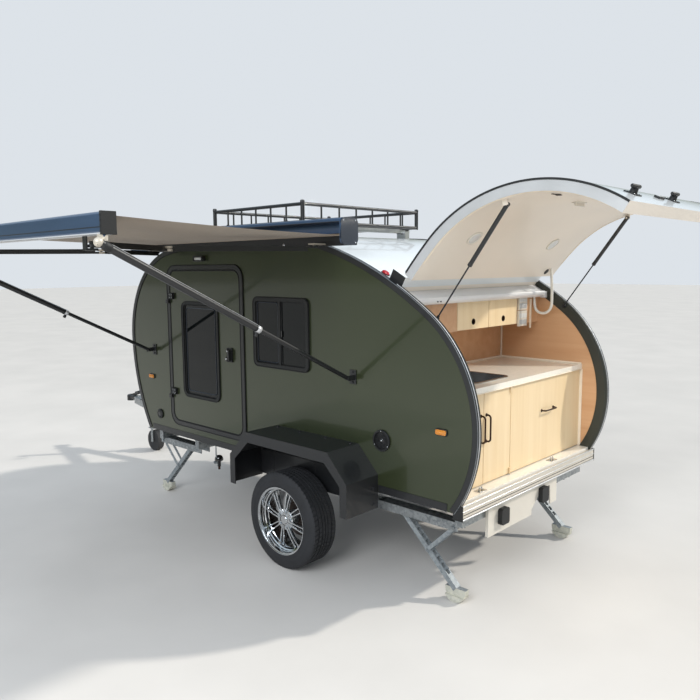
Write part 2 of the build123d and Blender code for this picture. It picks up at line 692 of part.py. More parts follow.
steady_line = 415
cheek_inner = 33
cheek_thick = 5
span_down = 2 * steady_arm * cos(radians(steady_angle))
drop_down = 2 * steady_arm * sin(radians(steady_angle))
foot_round = steady_line - drop_down
for end_x, way in ((steady_rear_foot, 1), (steady_front_foot, -1)):
    x0 = end_x - way * 24
    x1 = end_x + way * (2 * steady_arm + 24)
    for side in (1, -1):
        y = side * steady_y
        for cheek in (1, -1):
            y0 = y + cheek * cheek_inner
            y1 = y + cheek * (cheek_inner + cheek_thick)
            chassis = chassis + block(min(x0, x1), max(x0, x1), min(y0, y1), max(y0, y1),
                                      steady_line - 17, rail_bottom + 6)
        chassis = chassis + block(min(x0, x1), max(x0, x1), y - cheek_inner - 2, y + cheek_inner + 2,
                                  rail_bottom, rail_bottom + 6)
        chassis = chassis + rod((end_x, y - cheek_inner - 2, steady_line),
                                (end_x, y + cheek_inner + 2, steady_line), 6)
save("chassis", chassis.solid())

# Corner steadies. Columns: name, foot x, side, direction from the foot towards the leg's upper end
steady_table = [
    ("rear_left", steady_rear_foot, 1, 1),
    ("rear_right", steady_rear_foot, -1, 1),
    ("front_left", steady_front_foot, 1, -1),
    ("front_right", steady_front_foot, -1, -1),
]
ladder_starts = (44, 84, 124, 164, 204, 272, 312, 352, 392)
ladder_long = 26
for name, foot_x, side, way in steady_table:
    y = side * steady_y
    top = (foot_x + way * span_down, y, steady_line)
    middle = (foot_x + way * span_down / 2, y, steady_line - drop_down / 2)
    foot = (foot_x, y, steady_line - drop_down)

    def on_steady(distance, top=top, foot=foot):
        return tuple(a + (b - a) * distance / (2 * steady_arm) for a, b in zip(top, foot))

    brace = rod((middle[0], y - 28, middle[2]), (middle[0], y + 28, middle[2]), 6)
    for shift in (-26, 26):
        strap = bar((foot_x, y + shift, steady_line), (middle[0], y + shift, middle[2]), 4, 22)
        strap = strap + rod((foot_x, y + shift - 2, steady_line), (foot_x, y + shift + 2, steady_line), 12)
        strap = strap + rod((middle[0], y + shift - 2, middle[2]), (middle[0], y + shift + 2, middle[2]),
                            12)
        brace = brace + strap
    brace = brace - rod((foot_x, y - 40, steady_line), (foot_x, y + 40, steady_line), 6 + bore_play)
    save("steady_brace_" + name, brace.solid())
    leg = bar(top, foot, 40, 30)
    leg = leg - bar(top, foot, 34, 24)
    for start in ladder_starts:
        leg = leg - bar(on_steady(start), on_steady(start + ladder_long), 24, 40)
    leg = leg + rod((top[0], y - 30, top[2]), (top[0], y + 30, top[2]), 7)
    leg = leg + rod((middle[0], y - 20, middle[2]), (middle[0], y + 20, middle[2]), 11)
    shoe = rod((foot_x, y - 30, foot[2]), (foot_x, y + 30, foot[2]), foot_round)
    shoe = shoe - block(foot_x - 90, foot_x + 90, y - 40, y + 40, foot[2] - foot_round + 34, foot[2] + 90)
    web = rod((foot_x, y - 17, foot[2]), (foot_x, y + 17, foot[2]), foot_round - 3)
    web = web - block(foot_x - 90, foot_x + 90, y - 40, y + 40, foot[2] + 8, foot[2] + 90)
    leg = leg + shoe + web
    leg = leg - rod((middle[0], y - 40, middle[2]), (middle[0], y + 40, middle[2]), 6 + bore_play)
    save("steady_leg_" + name, leg.solid())

# Coupling head, its handle and the clamp of the jockey wheel
jockey_x, jockey_y = nose_x - 230, 0
jockey_tube_radius = 24
throat_z = ball_z + 28
throat = [(nose_x + 6, 64, 48, 6), (nose_x + 70, 52, 46, 12), (ball_x - 24, 58, 46, 16)]
coupler = loft([Plane.YZ.offset(x) * Pos(0, throat_z) * RectangleRounded(wide, high, corner)
                for x, wide, high, corner in throat])
head = rod((ball_x, 0, ball_z - 8), (ball_x, 0, ball_z + 52), 40)
coupler = coupler + fillet(head.edges().sort_by(Axis.Z)[-1], 18)
coupler = coupler - Pos(ball_x, 0, ball_z) * Sphere(25.5) - rod((ball_x, 0, ball_z - 40),
                                                                (ball_x, 0, ball_z), 25.5)
handle = bar((ball_x - 20, 0, ball_z + 50), (ball_x - 170, 0, ball_z + 92), 26, 14)
coupler = (coupler + handle).solid()
drawbar_top = rail_bottom + 63
jockey_clamp = block(jockey_x - 45, jockey_x + 45, -108, 108, drawbar_top, drawbar_top + 8)
jockey_clamp = jockey_clamp + rod((jockey_x, jockey_y, drawbar_top - 64),
                                  (jockey_x, jockey_y, drawbar_top + 40), 32)
jockey_clamp = jockey_clamp - rod((jockey_x, jockey_y, 400), (jockey_x, jockey_y, 600),
                                  jockey_tube_radius + bore_play)
save("coupler", together(coupler, jockey_clamp.solid()))

# Jockey wheel: sliding tube with crank, castor fork and wheel
castor_trail = 34
jockey_wheel_radius = 100
tube = pipe((jockey_x, jockey_y, 236), (jockey_x, jockey_y, 820), jockey_tube_radius, 12 + bore_play)
tube = tube + rod((jockey_x, jockey_y, 760), (jockey_x, jockey_y, 832), jockey_tube_radius)
tube = tube + rod((jockey_x, jockey_y, 832), (jockey_x, jockey_y, 850), 9)
tube = tube + bar((jockey_x, jockey_y, 846), (jockey_x - 130, jockey_y, 846), 12, 12)
tube = tube + rod((jockey_x - 124, jockey_y, 846), (jockey_x - 124, jockey_y, 930), 10)
save("jockey_tube", tube.solid())
wheel_x = jockey_x - castor_trail
fork = rod((jockey_x, jockey_y, 222), (jockey_x, jockey_y, 420), 12)
fork = fork + block(wheel_x - 24, jockey_x + 22, jockey_y - 44, jockey_y + 44, 216, 226)
for shift in (-41, 41):
    fork = fork + block(wheel_x - 18, wheel_x + 18, jockey_y + shift - 3, jockey_y + shift + 3, 86, 222)
fork = fork + rod((wheel_x, jockey_y - 44, jockey_wheel_radius),
                  (wheel_x, jockey_y + 44, jockey_wheel_radius), 8)
save("jockey_fork", fork.solid())
roller = rod((wheel_x, jockey_y - 30, jockey_wheel_radius), (wheel_x, jockey_y + 30, jockey_wheel_radius),
             jockey_wheel_radius)
roller = roller - rod((wheel_x, jockey_y - 40, jockey_wheel_radius),
                      (wheel_x, jockey_y + 40, jockey_wheel_radius), 8 + bore_play)
save("jockey_wheel", roller)

# Fenders
fender_outer = body_half_width + 254
fender_path = [(420, 444), (420, 628), (262, 790), (-436, 790), (-580, 640), (-580, 452)]
fender_inset = [(415.5, 444), (415.5, 626), (260, 785.5), (-434, 785.5), (-575.5, 638), (-575.5, 452)]
sheet = slab_xz(fender_path + fender_inset[::-1], body_half_width, fender_outer)
lip = slab_xz(fender_path + [(-530, 452), (-530, 618), (-414, 728), (244, 728), (372, 608), (372, 444)],
              fender_outer - 5, fender_outer)
back = slab_xz([(420, 560), (420, 628), (262, 790), (-436, 790), (-580, 640), (-580, 560)],
               body_half_width, body_half_width + 4)
fender = (sheet + lip + back).solid()
save("fenders", together(fender, mirrored(fender)))

# Roof rack on two cross bars
rack_x0, rack_x1 = 190, 1100
rack_y = 570
rack_z0, rack_z1 = 2056, 2166
frame_parts = None
for z in (rack_z0, rack_z1):
    for y in (-rack_y, rack_y):
        piece = rod((rack_x0, y, z), (rack_x1, y, z), 11)
        frame_parts = piece if frame_parts is None else frame_parts + piece
    for x in (rack_x0, rack_x1):
        frame_parts = frame_parts + rod((x, -rack_y, z), (x, rack_y, z), 11)
for x in (rack_x0, rack_x1):
    for y in (-rack_y, rack_y):
        frame_parts = frame_parts + rod((x, y, rack_z0 - 14), (x, y, rack_z1 + 14), 13)
slat_count = 6
for index in range(1, slat_count):
    x = rack_x0 + (rack_x1 - rack_x0) * index / slat_count
    frame_parts = frame_parts + rod((x, -rack_y, rack_z0), (x, rack_y, rack_z0), 8)
    for y in (-rack_y, rack_y):
        frame_parts = frame_parts + rod((x, y, rack_z0), (x, y, rack_z1), 6)
for index in range(1, 7):
    y = -rack_y + 2 * rack_y * index / 7
    for x in (rack_x0, rack_x1):
        frame_parts = frame_parts + rod((x, y, rack_z0), (x, y, rack_z1), 6)
for x in (rack_x0 + 150, rack_x1 - 150):
    frame_parts = frame_parts + block(x - 22, x + 22, -650, 650, rack_z0 - 34, rack_z0 - 5)
    for y in (-600, 600):
        frame_parts = frame_parts + block(x - 40, x + 40, y - 25, y + 25, top_z - 40, rack_z0 - 20)
frame_parts = frame_parts - filled(0.3, body_bottom, -660, 660)
save("roof_rack", frame_parts.solid())

# Awning cassette on the left wall, with the shoulders of the two arms and the wall brackets of the legs
front_shoulder_x = awning_front + awning_rear - shoulder_rear_x
cassette_y = body_half_width + trim_proud + 0.3
hood_y = cassette_y + 128.7
roll_y = body_half_width + 42
roll_z = 1968
cassette = block(awning_rear, awning_front, cassette_y, cassette_y + 9, 1892, 2034)
cassette = cassette + block(awning_rear, awning_front, cassette_y, hood_y, 2022, 2034)
cassette = cassette + block(awning_rear, awning_front, hood_y - 7, hood_y, 2012, 2028)
cassette = fillet(cassette.edges().filter_by(Axis.X).sort_by(lambda edge: edge.center().Y
                                                             + edge.center().Z)[-1], 7)
for x in (awning_rear - 8, awning_front - 6):
    cassette = cassette + round_beam(x, x + 14, cassette_y, hood_y + 2, 1892, 2038, 34)
cassette = cassette + rod((awning_rear + 3, roll_y, roll_z), (awning_front - 3, roll_y, roll_z), 24)
for x in (shoulder_rear_x, front_shoulder_x):
    cassette = cassette + block(x - 26, x + 26, cassette_y, arm_y + 20, arm_z + 19, arm_z + 27)
    cassette = cassette + block(x - 26, x + 26, cassette_y, cassette_y + 9, arm_z + 19, arm_z + 40)
    cassette = cassette + rod((x, arm_y, arm_z + 1), (x, arm_y, arm_z + 22), 8)
leg_brackets = []
for x, way in ((leg_rear_x, 1), (leg_front_x, -1)):
    plate = block(x - 24, x + 24, body_half_width, body_half_width + 6, leg_foot_z - 40, leg_foot_z + 40)
    ear_x0 = x - way * 15
    ear_x1 = x - way * 20
    plate = plate + block(min(ear_x0, ear_x1), max(ear_x0, ear_x1), body_half_width, leg_foot_y + 12,
                          leg_foot_z - 14, leg_foot_z + 14)
    plate = plate + rod((x - way * 18, leg_foot_y, leg_foot_z), (x - way * 2, leg_foot_y, leg_foot_z), 3.5)
    leg_brackets.append(plate.solid())
save("awning_cassette", together(cassette.solid(), leg_brackets))

# Folding arms: the tubes lie beside the pivot lines, so that folded arms lie side by side
arm_reach = 2 * arm_length * sin(radians(arm_angle))
tube_shift = 18
boss_radius = 22
for name, shoulder_x, way in (("rear", shoulder_rear_x, 1), ("front", front_shoulder_x, -1)):
    ca = cos(radians(arm_angle)) * way
    sa = sin(radians(arm_angle))
    elbow = (shoulder_x + arm_length * ca, arm_y + arm_length * sa)
    tip = (shoulder_x, arm_y + arm_reach)

    def place(start, ux, uy, distance, across):
        return (start[0] + ux * distance - uy * across, start[1] + uy * distance + ux * across)

    # Upper arm, its tube on the wall side
    shift = -tube_shift * way
    a = place((shoulder_x, arm_y), ca, sa, 34, shift)
    b = place((shoulder_x, arm_y), ca, sa, arm_length - 34, shift)
    upper = bar((a[0], a[1], arm_z), (b[0], b[1], arm_z), 28, 28)
    for distance, centre in ((0, (shoulder_x, arm_y)), (arm_length, elbow)):
        near = place((shoulder_x, arm_y), ca, sa, 40 if distance == 0 else arm_length - 40, shift)
        upper = upper + rod((centre[0], centre[1], arm_z + 2), (centre[0], centre[1], arm_z + 14),
                            boss_radius)
        upper = upper + bar((centre[0], centre[1], arm_z + 8), (near[0], near[1], arm_z + 8), 26, 12)
    upper = upper - rod((shoulder_x, arm_y, arm_z - 20), (shoulder_x, arm_y, arm_z + 20), 8 + bore_play)
    upper = upper + rod((elbow[0], elbow[1], arm_z - 14), (elbow[0], elbow[1], arm_z + 10), 8)
    save("arm_upper_" + name, upper.solid())

    # Forearm, its tube on the outer side
    fx = -ca
    shift = -tube_shift * way
    a = place(elbow, fx, sa, 34, shift)
    b = place(elbow, fx, sa, arm_length - 34, shift)
    fore = bar((a[0], a[1], arm_z), (b[0], b[1], arm_z), 28, 28)
    for distance, centre in ((0, elbow), (arm_length, tip)):
        near = place(elbow, fx, sa, 40 if distance == 0 else arm_length - 40, shift)
        fore = fore + rod((centre[0], centre[1], arm_z - 14), (centre[0], centre[1], arm_z - 2),
                          boss_radius)
        fore = fore + bar((centre[0], centre[1], arm_z - 8), (near[0], near[1], arm_z - 8), 26, 12)
    fore = fore - rod((elbow[0], elbow[1], arm_z - 20), (elbow[0], elbow[1], arm_z + 20), 8 + bore_play)
    fore = fore + rod((tip[0], tip[1], arm_z - 27), (tip[0], tip[1], arm_z - 8), 8)
    save("arm_fore_" + name, fore.solid())

# Lead rail with lugs for the forearms and pins for the legs
rail_x0 = leg_rear_x + 24
rail_x1 = leg_front_x - 24
lead_y0 = arm_y + arm_reach - 4
lead_y1 = lead_y0 + 64
lead = round_beam(rail_x0, rail_x1, lead_y0, lead_y1, arm_z + 33, arm_z + 124, 13)
for shoulder_x in (shoulder_rear_x, front_shoulder_x):
    tip_y = arm_y + arm_reach
    lead = lead + block(shoulder_x - 16, shoulder_x + 16, tip_y - 20, tip_y + 34, arm_z - 28, arm_z - 18)
    lead = lead + block(shoulder_x - 16, shoulder_x + 16, tip_y + 27, tip_y + 34, arm_z - 28, arm_z + 35)
    play = bore_play if shoulder_x == shoulder_rear_x else 0.4
    lead = lead - rod((shoulder_x, tip_y, arm_z - 30), (shoulder_x, tip_y, arm_z - 15), 8 + play)

leg_head_y = lead_y1 + leg_head_out
leg_head_z = arm_z
leg_dy = leg_foot_y - leg_head_y
leg_dz = leg_foot_z - leg_head_z
leg_full = hypot(leg_dy, leg_dz)
leg_way = (0, leg_dy / leg_full, leg_dz / leg_full)
leg_split = 900
for name, x, way in (("rear", leg_rear_x, 1), ("front", leg_front_x, -1)):
    head = (x, leg_head_y, leg_head_z)
    axis = (0.5 * way,
            0.7071 * leg_way[2] + 0.5 * leg_way[1],
            -0.7071 * leg_way[1] + 0.5 * leg_way[2])

    def on_leg(distance, x=x):
        return (x, leg_head_y + leg_way[1] * distance, leg_head_z + leg_way[2] * distance)

    def on_axis(distance, head=head, axis=axis):
        return tuple(head[i] + axis[i] * distance for i in range(3))

    pin_end = on_axis(47)
    end_x = rail_x0 if way > 0 else rail_x1
    lead = lead + block(end_x - 8 * way, end_x + 30 * way, pin_end[1] - 14, pin_end[1] + 14,
                        pin_end[2] - 12, arm_z + 40)
    lead = lead + rod(on_axis(-24), on_axis(50), 6)
    outer_tube = rod(on_leg(0), on_leg(leg_split), 17) + Pos(*head) * Sphere(20)
    outer_tube = outer_tube - rod(on_axis(-40), on_axis(60), 6 + bore_play)
    outer_tube = outer_tube - rod(on_leg(30), on_leg(leg_split + 5), 12 + bore_play)
    save("leg_outer_" + name, outer_tube.solid())
    inner_tube = pipe(on_leg(leg_split - 130), on_leg(leg_full - 20), 12, 9)
    foot = on_leg(leg_full)
    inner_tube = inner_tube + rod(on_leg(leg_full - 30), on_leg(leg_full - 9), 10)
    inner_tube = inner_tube + rod((x - 8, foot[1], foot[2]), (x + 8, foot[1], foot[2]), 12)
    inner_tube = inner_tube - rod((x - 11, foot[1], foot[2]), (x + 11, foot[1], foot[2]), 8)
    save("leg_inner_" + name, inner_tube.solid())
save("lead_rail", lead.solid())

fabric_z = arm_z + 108
fabric = block(rail_x0 + 8, rail_x1 - 8, roll_y, lead_y0 - 0.4, fabric_z, fabric_z + 2)
fabric = fabric - rod((awning_rear, roll_y, roll_z), (awning_front, roll_y, roll_z), 24.4)
fabric = fabric - block(awning_rear, awning_front, roll_y - 12, roll_y + 24.5, fabric_z - 40, fabric_z + 10)
save("awning_fabric", fabric.solids()[0])

# Rear sill over the edge of the floor, plate panel and buffers under it
sill_front = chassis_rear - 0.3
sill = block(sill_front - 54, sill_front, -body_half_width, body_half_width, 512, body_bottom - 3.3)
sill = sill + block(sill_front - 54, sill_front - 41, -body_half_width + 3, body_half_width - 3, 512, 586)
panel_x = sill_front - 20
panel_corners = [(457, 512), (457, 332), (-8, 332), (-8, 363), (-125, 461), (-225, 461), (-235, 343),
                 (-310, 343), (-313, 512)]
panel = slab_yz(panel_corners, panel_x, panel_x + 6)
panel = panel + block(panel_x, sill_front - 2, 452, 457, 332, 512)
buffers = []
for y, z in ((323, 422), (-125, 432)):
    buffer = block(panel_x - 28, panel_x, y - 39, y + 39, z - 45, z + 45)
    buffers.append(fillet(buffer.edges().filter_by(Axis.X), 14))
save("rear_sill", together(sill.solid(), panel, buffers))

# Mattress on the cabin floor
mattress = block(-424, 1560, 14 - inner_y, inner_y - 14, body_bottom + 35.3, 704)
save("mattress", fillet(mattress.edges(), 26))

# Conduit loop between the hatch and the header: straight runs joined by arcs as large as they allow
def cord_radii(points):
    radii = []
    for before, here, after in zip(points, points[1:], points[2:]):
        coming = Vector(*here) - Vector(*before)
        leaving = Vector(*after) - Vector(*here)
        half_turn = radians(coming.get_angle(leaving) / 2)
        radii.append(0.45 * min(coming.length, leaving.length) / tan(half_turn))
    return radii


cable_y = 80 - inner_y
cable_radius = 9
cable_start = when_open(*outline_point(seam_angle + 2, hatch_gap - 7.2))
cable_end_x = -742
cable_end_z = outline_point(top_angle_at_x(cable_end_x, -skin_thick - 22), -skin_thick - 22)[1] - 6
cable_loop = [(-868, 1665), (-870, 1585), (-870, 1500), (-833, 1463), (-780, 1463), (-743, 1500)]
cable_places = [cable_start, *cable_loop, (cable_end_x, cable_end_z)]
cable_points = [(x, cable_y, z) for x, z in cable_places]
print("cable radii", [round(radius) for radius in cord_radii(cable_points)])
cable_path = FilletPolyline(*cable_points, radius=cord_radii(cable_points))
cable = sweep(Plane(origin=cable_path @ 0, z_dir=cable_path % 0) * Circle(cable_radius), path=cable_path)
save("hatch_cable", cable)
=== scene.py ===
import bmesh
import bpy
from math import atan2, cos, degrees, hypot, pi, radians, sin, sqrt
from mathutils import Matrix, Vector


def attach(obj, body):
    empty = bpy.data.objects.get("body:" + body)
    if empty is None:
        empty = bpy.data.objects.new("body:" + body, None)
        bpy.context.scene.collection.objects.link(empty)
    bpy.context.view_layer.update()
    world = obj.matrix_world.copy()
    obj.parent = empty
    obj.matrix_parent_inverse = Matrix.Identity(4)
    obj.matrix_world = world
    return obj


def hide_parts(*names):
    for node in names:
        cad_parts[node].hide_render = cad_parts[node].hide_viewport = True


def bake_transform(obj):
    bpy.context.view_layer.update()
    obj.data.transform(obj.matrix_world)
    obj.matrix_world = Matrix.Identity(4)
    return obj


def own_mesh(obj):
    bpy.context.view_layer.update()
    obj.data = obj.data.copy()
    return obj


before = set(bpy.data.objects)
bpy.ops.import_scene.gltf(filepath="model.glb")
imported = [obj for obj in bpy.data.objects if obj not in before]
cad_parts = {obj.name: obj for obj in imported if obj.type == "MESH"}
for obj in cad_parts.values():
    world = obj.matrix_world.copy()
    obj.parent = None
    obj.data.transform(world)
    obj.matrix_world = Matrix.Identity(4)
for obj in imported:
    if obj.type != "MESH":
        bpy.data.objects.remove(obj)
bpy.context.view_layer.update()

# Lengths are metres. Points are written in working axes, X forward from the wheel axle and Z up from
# the ground, and SHIFT carries them to the frame of the part.
SHIFT = Vector((-3.42, 0, -0.45))
SIDES = (("left", 1), ("right", -1))
BOX = [(0, 1, 3, 2), (4, 6, 7, 5), (0, 4, 5, 1), (2, 3, 7, 6), (0, 2, 6, 4), (1, 5, 7, 3)]

body_y = 0.75
tyre_radius = 0.288
wheel_inner = 0.774
wheel_outer = 0.969
wheel_mid = (wheel_inner + wheel_outer) / 2
hinge_zs = (0.860, 1.560)
stud_x, stud_z = -0.928, 1.512
pull_z = 1.447
pulls = (("left", 0.0575), ("right", -0.2775))
elbow_y = 1.48106
head_y, head_z = 2.214119, 1.880
head_xs = (("rear", -0.400), ("front", 1.668))
lead_y0, lead_y1 = 2.128119, 2.192119
steady_y, steady_z, steady_arm = 0.600, 0.415, 0.250
steady_ends = (("rear", -1.005, 1), ("front", 1.790, -1))


# Outline of the body


def tangent_radius(run, rise, small):
    return ((run - small) ** 2 + rise ** 2 - small ** 2) / (2 * (rise - small))


rear_x, rear_z, rear_round = -1.217, 0.95, 0.73
front_x, front_z, front_round = 1.985, 1.25, 0.66
top_x, top_z, bottom_z = 0.45, 1.985, 0.54
rear_foot_x, front_foot_x = -1.083, 1.775
rear_top = tangent_radius(top_x - rear_x, top_z - rear_z, rear_round)
front_top = tangent_radius(front_x - top_x, top_z - front_z, front_round)
rear_low = ((rear_z - bottom_z) ** 2 + (rear_foot_x - rear_x) ** 2) / (2 * (rear_foot_x - rear_x))
front_low = ((front_z - bottom_z) ** 2 + (front_x - front_foot_x) ** 2) / (2 * (front_x - front_foot_x))
rear_join = degrees(atan2(rear_z - (top_z - rear_top), rear_x + rear_round - top_x))
front_join = degrees(atan2(front_z - (top_z - front_top), front_x - front_round - top_x))
# Columns: first normal angle, last normal angle, centre x, centre z, radius
arcs = [
    (270, 180, rear_x + rear_low, rear_z, rear_low),
    (180, rear_join, rear_x + rear_round, rear_z, rear_round),
    (rear_join, 90, top_x, top_z - rear_top, rear_top),
    (90, front_join, top_x, top_z - front_top, front_top),
    (front_join, 0, front_x - front_round, front_z, front_round),
    (0, -90, front_x - front_low, front_z, front_low),
]


def arc_at(angle):
    return next(arc for arc in arcs if arc[0] >= angle >= arc[1])


def outline(angle, out):
    cx, cz, radius = arc_at(angle)[2:]
    return cx + (radius + out) * cos(radians(angle)), cz + (radius + out) * sin(radians(angle))


def at(angle, out, y):
    x, z = outline(angle, out)
    return (x, y, z)


def outline_depth(x, z):
    """How far a point lies outside the outline."""
    best = 9
    for first, last, cx, cz, radius in arcs:
        angle = degrees(atan2(z - cz, x - cx)) % 360
        if last < 0 and angle > 180:
            angle -= 360
        if first >= angle >= last:
            out = hypot(x - cx, z - cz) - radius
            if abs(out) < abs(best):
                best = out
    return best


def angle_at(x=None, z=None, arc=2):
    """The normal angle where an arc passes an x or a z place."""
    cx, cz, radius = arcs[arc][2:]
    if x is not None:
        run = (x - cx) / radius
        return degrees(atan2(sqrt(1 - run * run), run))
    drop = (z - cz) / radius
    angle = degrees(atan2(drop, sqrt(1 - drop * drop)))
    return 180 - angle if arc == 0 else angle


seam = angle_at(x=-0.72)
hinge = outline(seam, 0.070)
rear_bottom = angle_at(z=bottom_z, arc=0)
front_bottom = angle_at(z=bottom_z, arc=5)
tail = angle_at(z=0.655, arc=0)
hatch_turn = radians(82)


def swing(p, turn):
    """A point turned about the hatch's hinge."""
    dx, dz = p[0] - hinge[0], p[2] - hinge[1]
    return (hinge[0] + dx * cos(turn) + dz * sin(turn), p[1],
            hinge[1] - dx * sin(turn) + dz * cos(turn))


def opened(p):
    """A point of the closed hatch, where the open hatch has it."""
    return swing(p, hatch_turn)


def flipped(p):
    return (p[0], -p[1], p[2])


def evenly(first, last, count):
    return [first + (last - first) * i / count for i in range(count + 1)]


# Materials


def srgb(red, green, blue):
    def linear(v):
        v = v / 255
        return v / 12.92 if v <= 0.04045 else ((v + 0.055) / 1.055) ** 2.4
    return (linear(red), linear(green), linear(blue), 1)


def wire(tree, made, **inputs):
    """Each input is a value or the socket that feeds it, with _ for a space in its name."""
    for name, given in inputs.items():
        socket = made.inputs[name.replace("_", " ")]
        if isinstance(given, bpy.types.NodeSocket):
            tree.links.new(given, socket)
        else:
            socket.default_value = given


def node(tree, kind, **inputs):
    made = tree.nodes.new("ShaderNode" + kind)
    wire(tree, made, **inputs)
    return made


def tones(tree, source, low, high, low_at=0.0, high_at=1.0):
    """Paints the surface from low to high with the source."""
    made = node(tree, "ValToRGB", Fac=source)
    for stop, colour, place in zip(made.color_ramp.elements, (low, high), (low_at, high_at)):
        stop.color, stop.position = colour, place
    wire(tree, tree.nodes["Principled BSDF"], Base_Color=made.outputs["Color"])


def relief(tree, source, strength, distance):
    made = node(tree, "Bump", Height=source, Strength=strength, Distance=distance)
    wire(tree, tree.nodes["Principled BSDF"], Normal=made.outputs["Normal"])


def place_in(tree):
    return tree.nodes["Texture Coordinate"].outputs["Object"]


def material(name, colour, rough, metal=0.0, coat=0.0, coat_rough=0.05, spread=0.08, scale=3, bump=0.0,
             bump_scale=300, bump_size=(1, 1, 1), passes=0.0, ior=1.5, sheen=0.0, specular=0.5):
    """A surface in two near tones of an sRGB colour; bump gives it a fine relief."""
    made = bpy.data.materials.new(name)
    made.use_nodes = True
    tree = made.node_tree
    node(tree, "TexCoord")
    mapping = node(tree, "Mapping", Vector=place_in(tree),
                   Scale=scale if isinstance(scale, tuple) else (scale, scale, scale))
    noise = node(tree, "TexNoise", Vector=mapping.outputs["Vector"], Scale=1, Detail=4).outputs["Fac"]
    middle = srgb(*colour)[:3]
    tones(tree, noise, tuple(c * (1 - spread) for c in middle) + (1,),
          tuple(min(1, c * (1 + spread)) for c in middle) + (1,), 0.3, 0.7)
    gloss = node(tree, "MapRange", Value=noise, To_Min=rough * 0.85, To_Max=min(1, rough * 1.15))
    wire(tree, tree.nodes["Principled BSDF"], Roughness=gloss.outputs["Result"], Metallic=metal,
         Coat_Weight=coat, Coat_Roughness=coat_rough, Transmission_Weight=passes, IOR=ior,
         Sheen_Weight=sheen, Specular_IOR_Level=specular)
    if bump:
        stretch = node(tree, "Mapping", Vector=place_in(tree), Scale=bump_size)
        fine = node(tree, "TexNoise", Vector=stretch.outputs["Vector"], Scale=bump_scale, Detail=3)
        relief(tree, fine.outputs["Fac"], bump, 0.001)
    return made


def wood(name, light, dark, along, size=1.0):
    """Straight-grained wood, its grain along x, y or z."""
    made = material(name, light, 0.42, coat=0.15, coat_rough=0.3)
    tree = made.node_tree
    stretch = [26 * size] * 3
    stretch["xyz".index(along)] = 1.3 * size
    mapping = node(tree, "Mapping", Vector=place_in(tree), Scale=stretch)
    grain = node(tree, "TexNoise", Vector=mapping.outputs["Vector"], Scale=1, Detail=7, Roughness=0.62,
                 Distortion=0.6).outputs["Fac"]
    tones(tree, grain, srgb(*dark), srgb(*light), 0.32, 0.66)
    relief(tree, grain, 0.12, 0.0005)
    return made


def spangled(name, light, dark, scale, rough=0.38, metal=0.85):
    """Zinc coating with its crystal flakes."""
    made = material(name, light, rough, metal=metal)
    tree = made.node_tree
    cells = node(tree, "TexVoronoi", Vector=place_in(tree), Scale=scale)
    tones(tree, cells.outputs["Color"], srgb(*dark), srgb(*light))
    return made


def woven(name, light, dark, pitch):
    """Plain weave, its threads along x and y."""
    made = material(name, light, 0.85, sheen=0.3)
    tree = made.node_tree
    weave = node(tree, "Math")
    weave.operation = "MULTIPLY"
    for thread, way in enumerate("XY"):
        wave = node(tree, "TexWave", Vector=place_in(tree), Scale=0.314 / pitch, Distortion=0.6)
        wave.bands_direction = way
        tree.links.new(wave.outputs["Fac"], weave.inputs[thread])
    relief(tree, weave.outputs["Value"], 0.25, 0.0006)
    tones(tree, weave.outputs["Value"], srgb(*light), srgb(*dark), 0.0, 0.8)
    return made


green = material("olive_paint", (50, 57, 35), 0.3, metal=0.3, coat=0.55, coat_rough=0.07, spread=0.06,
                 scale=1.2, bump=0.05, bump_scale=900)
white_skin = material("white_skin", (226, 230, 231), 0.3, coat=0.7, coat_rough=0.06, spread=0.02, bump=0.04)
liner = material("warm_white_liner", (232, 222, 208), 0.42, coat=0.2, spread=0.03, scale=2, bump=0.06,
                 bump_scale=120)
silver_edge = material("silver_edge", (206, 207, 208), 0.35, metal=0.5, spread=0.04, scale=8)
black_satin = material("black_satin", (24, 25, 27), 0.42, coat=0.25, spread=0.15, bump=0.08, bump_scale=500)
black_plastic = material("black_plastic", (22, 23, 24), 0.55, spread=0.12, bump=0.15, bump_scale=700)
seal = material("black_seal", (15, 15, 16), 0.7, spread=0.15, bump=0.1)
dark_glass = material("tinted_glass", (14, 18, 18), 0.04, spread=0.03, passes=0.12, ior=1.45, specular=0.3)
amber = material("amber_lens", (232, 150, 52), 0.18, coat=0.6, spread=0.05, scale=40, passes=0.25)
clear_lens = material("clear_lens", (226, 228, 226), 0.25, coat=0.5, spread=0.03, scale=60, passes=0.2)
red_lens = material("red_lens", (190, 22, 34), 0.16, coat=0.8, spread=0.06, scale=40, passes=0.2)
maple = wood("maple_fronts", (236, 212, 172), (229, 202, 158), "z", size=0.7)
maple_level = wood("maple_level", (236, 212, 172), (229, 202, 158), "y", size=0.7)
wall_wood = wood("warm_wood_lining", (208, 164, 124), (196, 148, 106), "x", size=0.5)
plywood = wood("floor_plywood", (176, 138, 92), (140, 104, 66), "x")
under_board = material("under_board", (52, 50, 46), 0.8, spread=0.2, scale=4, bump=0.3, bump_scale=80)
worktop_look = material("worktop_laminate", (238, 232, 218), 0.2, coat=0.25, spread=0.03, scale=60)
steel = material("brushed_steel", (178, 180, 182), 0.24, metal=1.0, spread=0.06, scale=(4, 160, 4),
                 bump=0.05, bump_scale=60, bump_size=(1, 40, 1))
aluminium = material("plain_aluminium", (206, 208, 208), 0.33, metal=0.9, spread=0.05, scale=(3, 40, 3),
                     bump=0.05, bump_scale=40, bump_size=(1, 12, 1))
panel_white = material("panel_white", (216, 210, 198), 0.4, metal=0.2, coat=0.2, spread=0.05, scale=5)
zinc = spangled("galvanised", (176, 180, 182), (122, 127, 130), 70)
leg_zinc = spangled("leg_galvanised", (160, 166, 168), (122, 128, 132), 70, rough=0.62, metal=0.4)
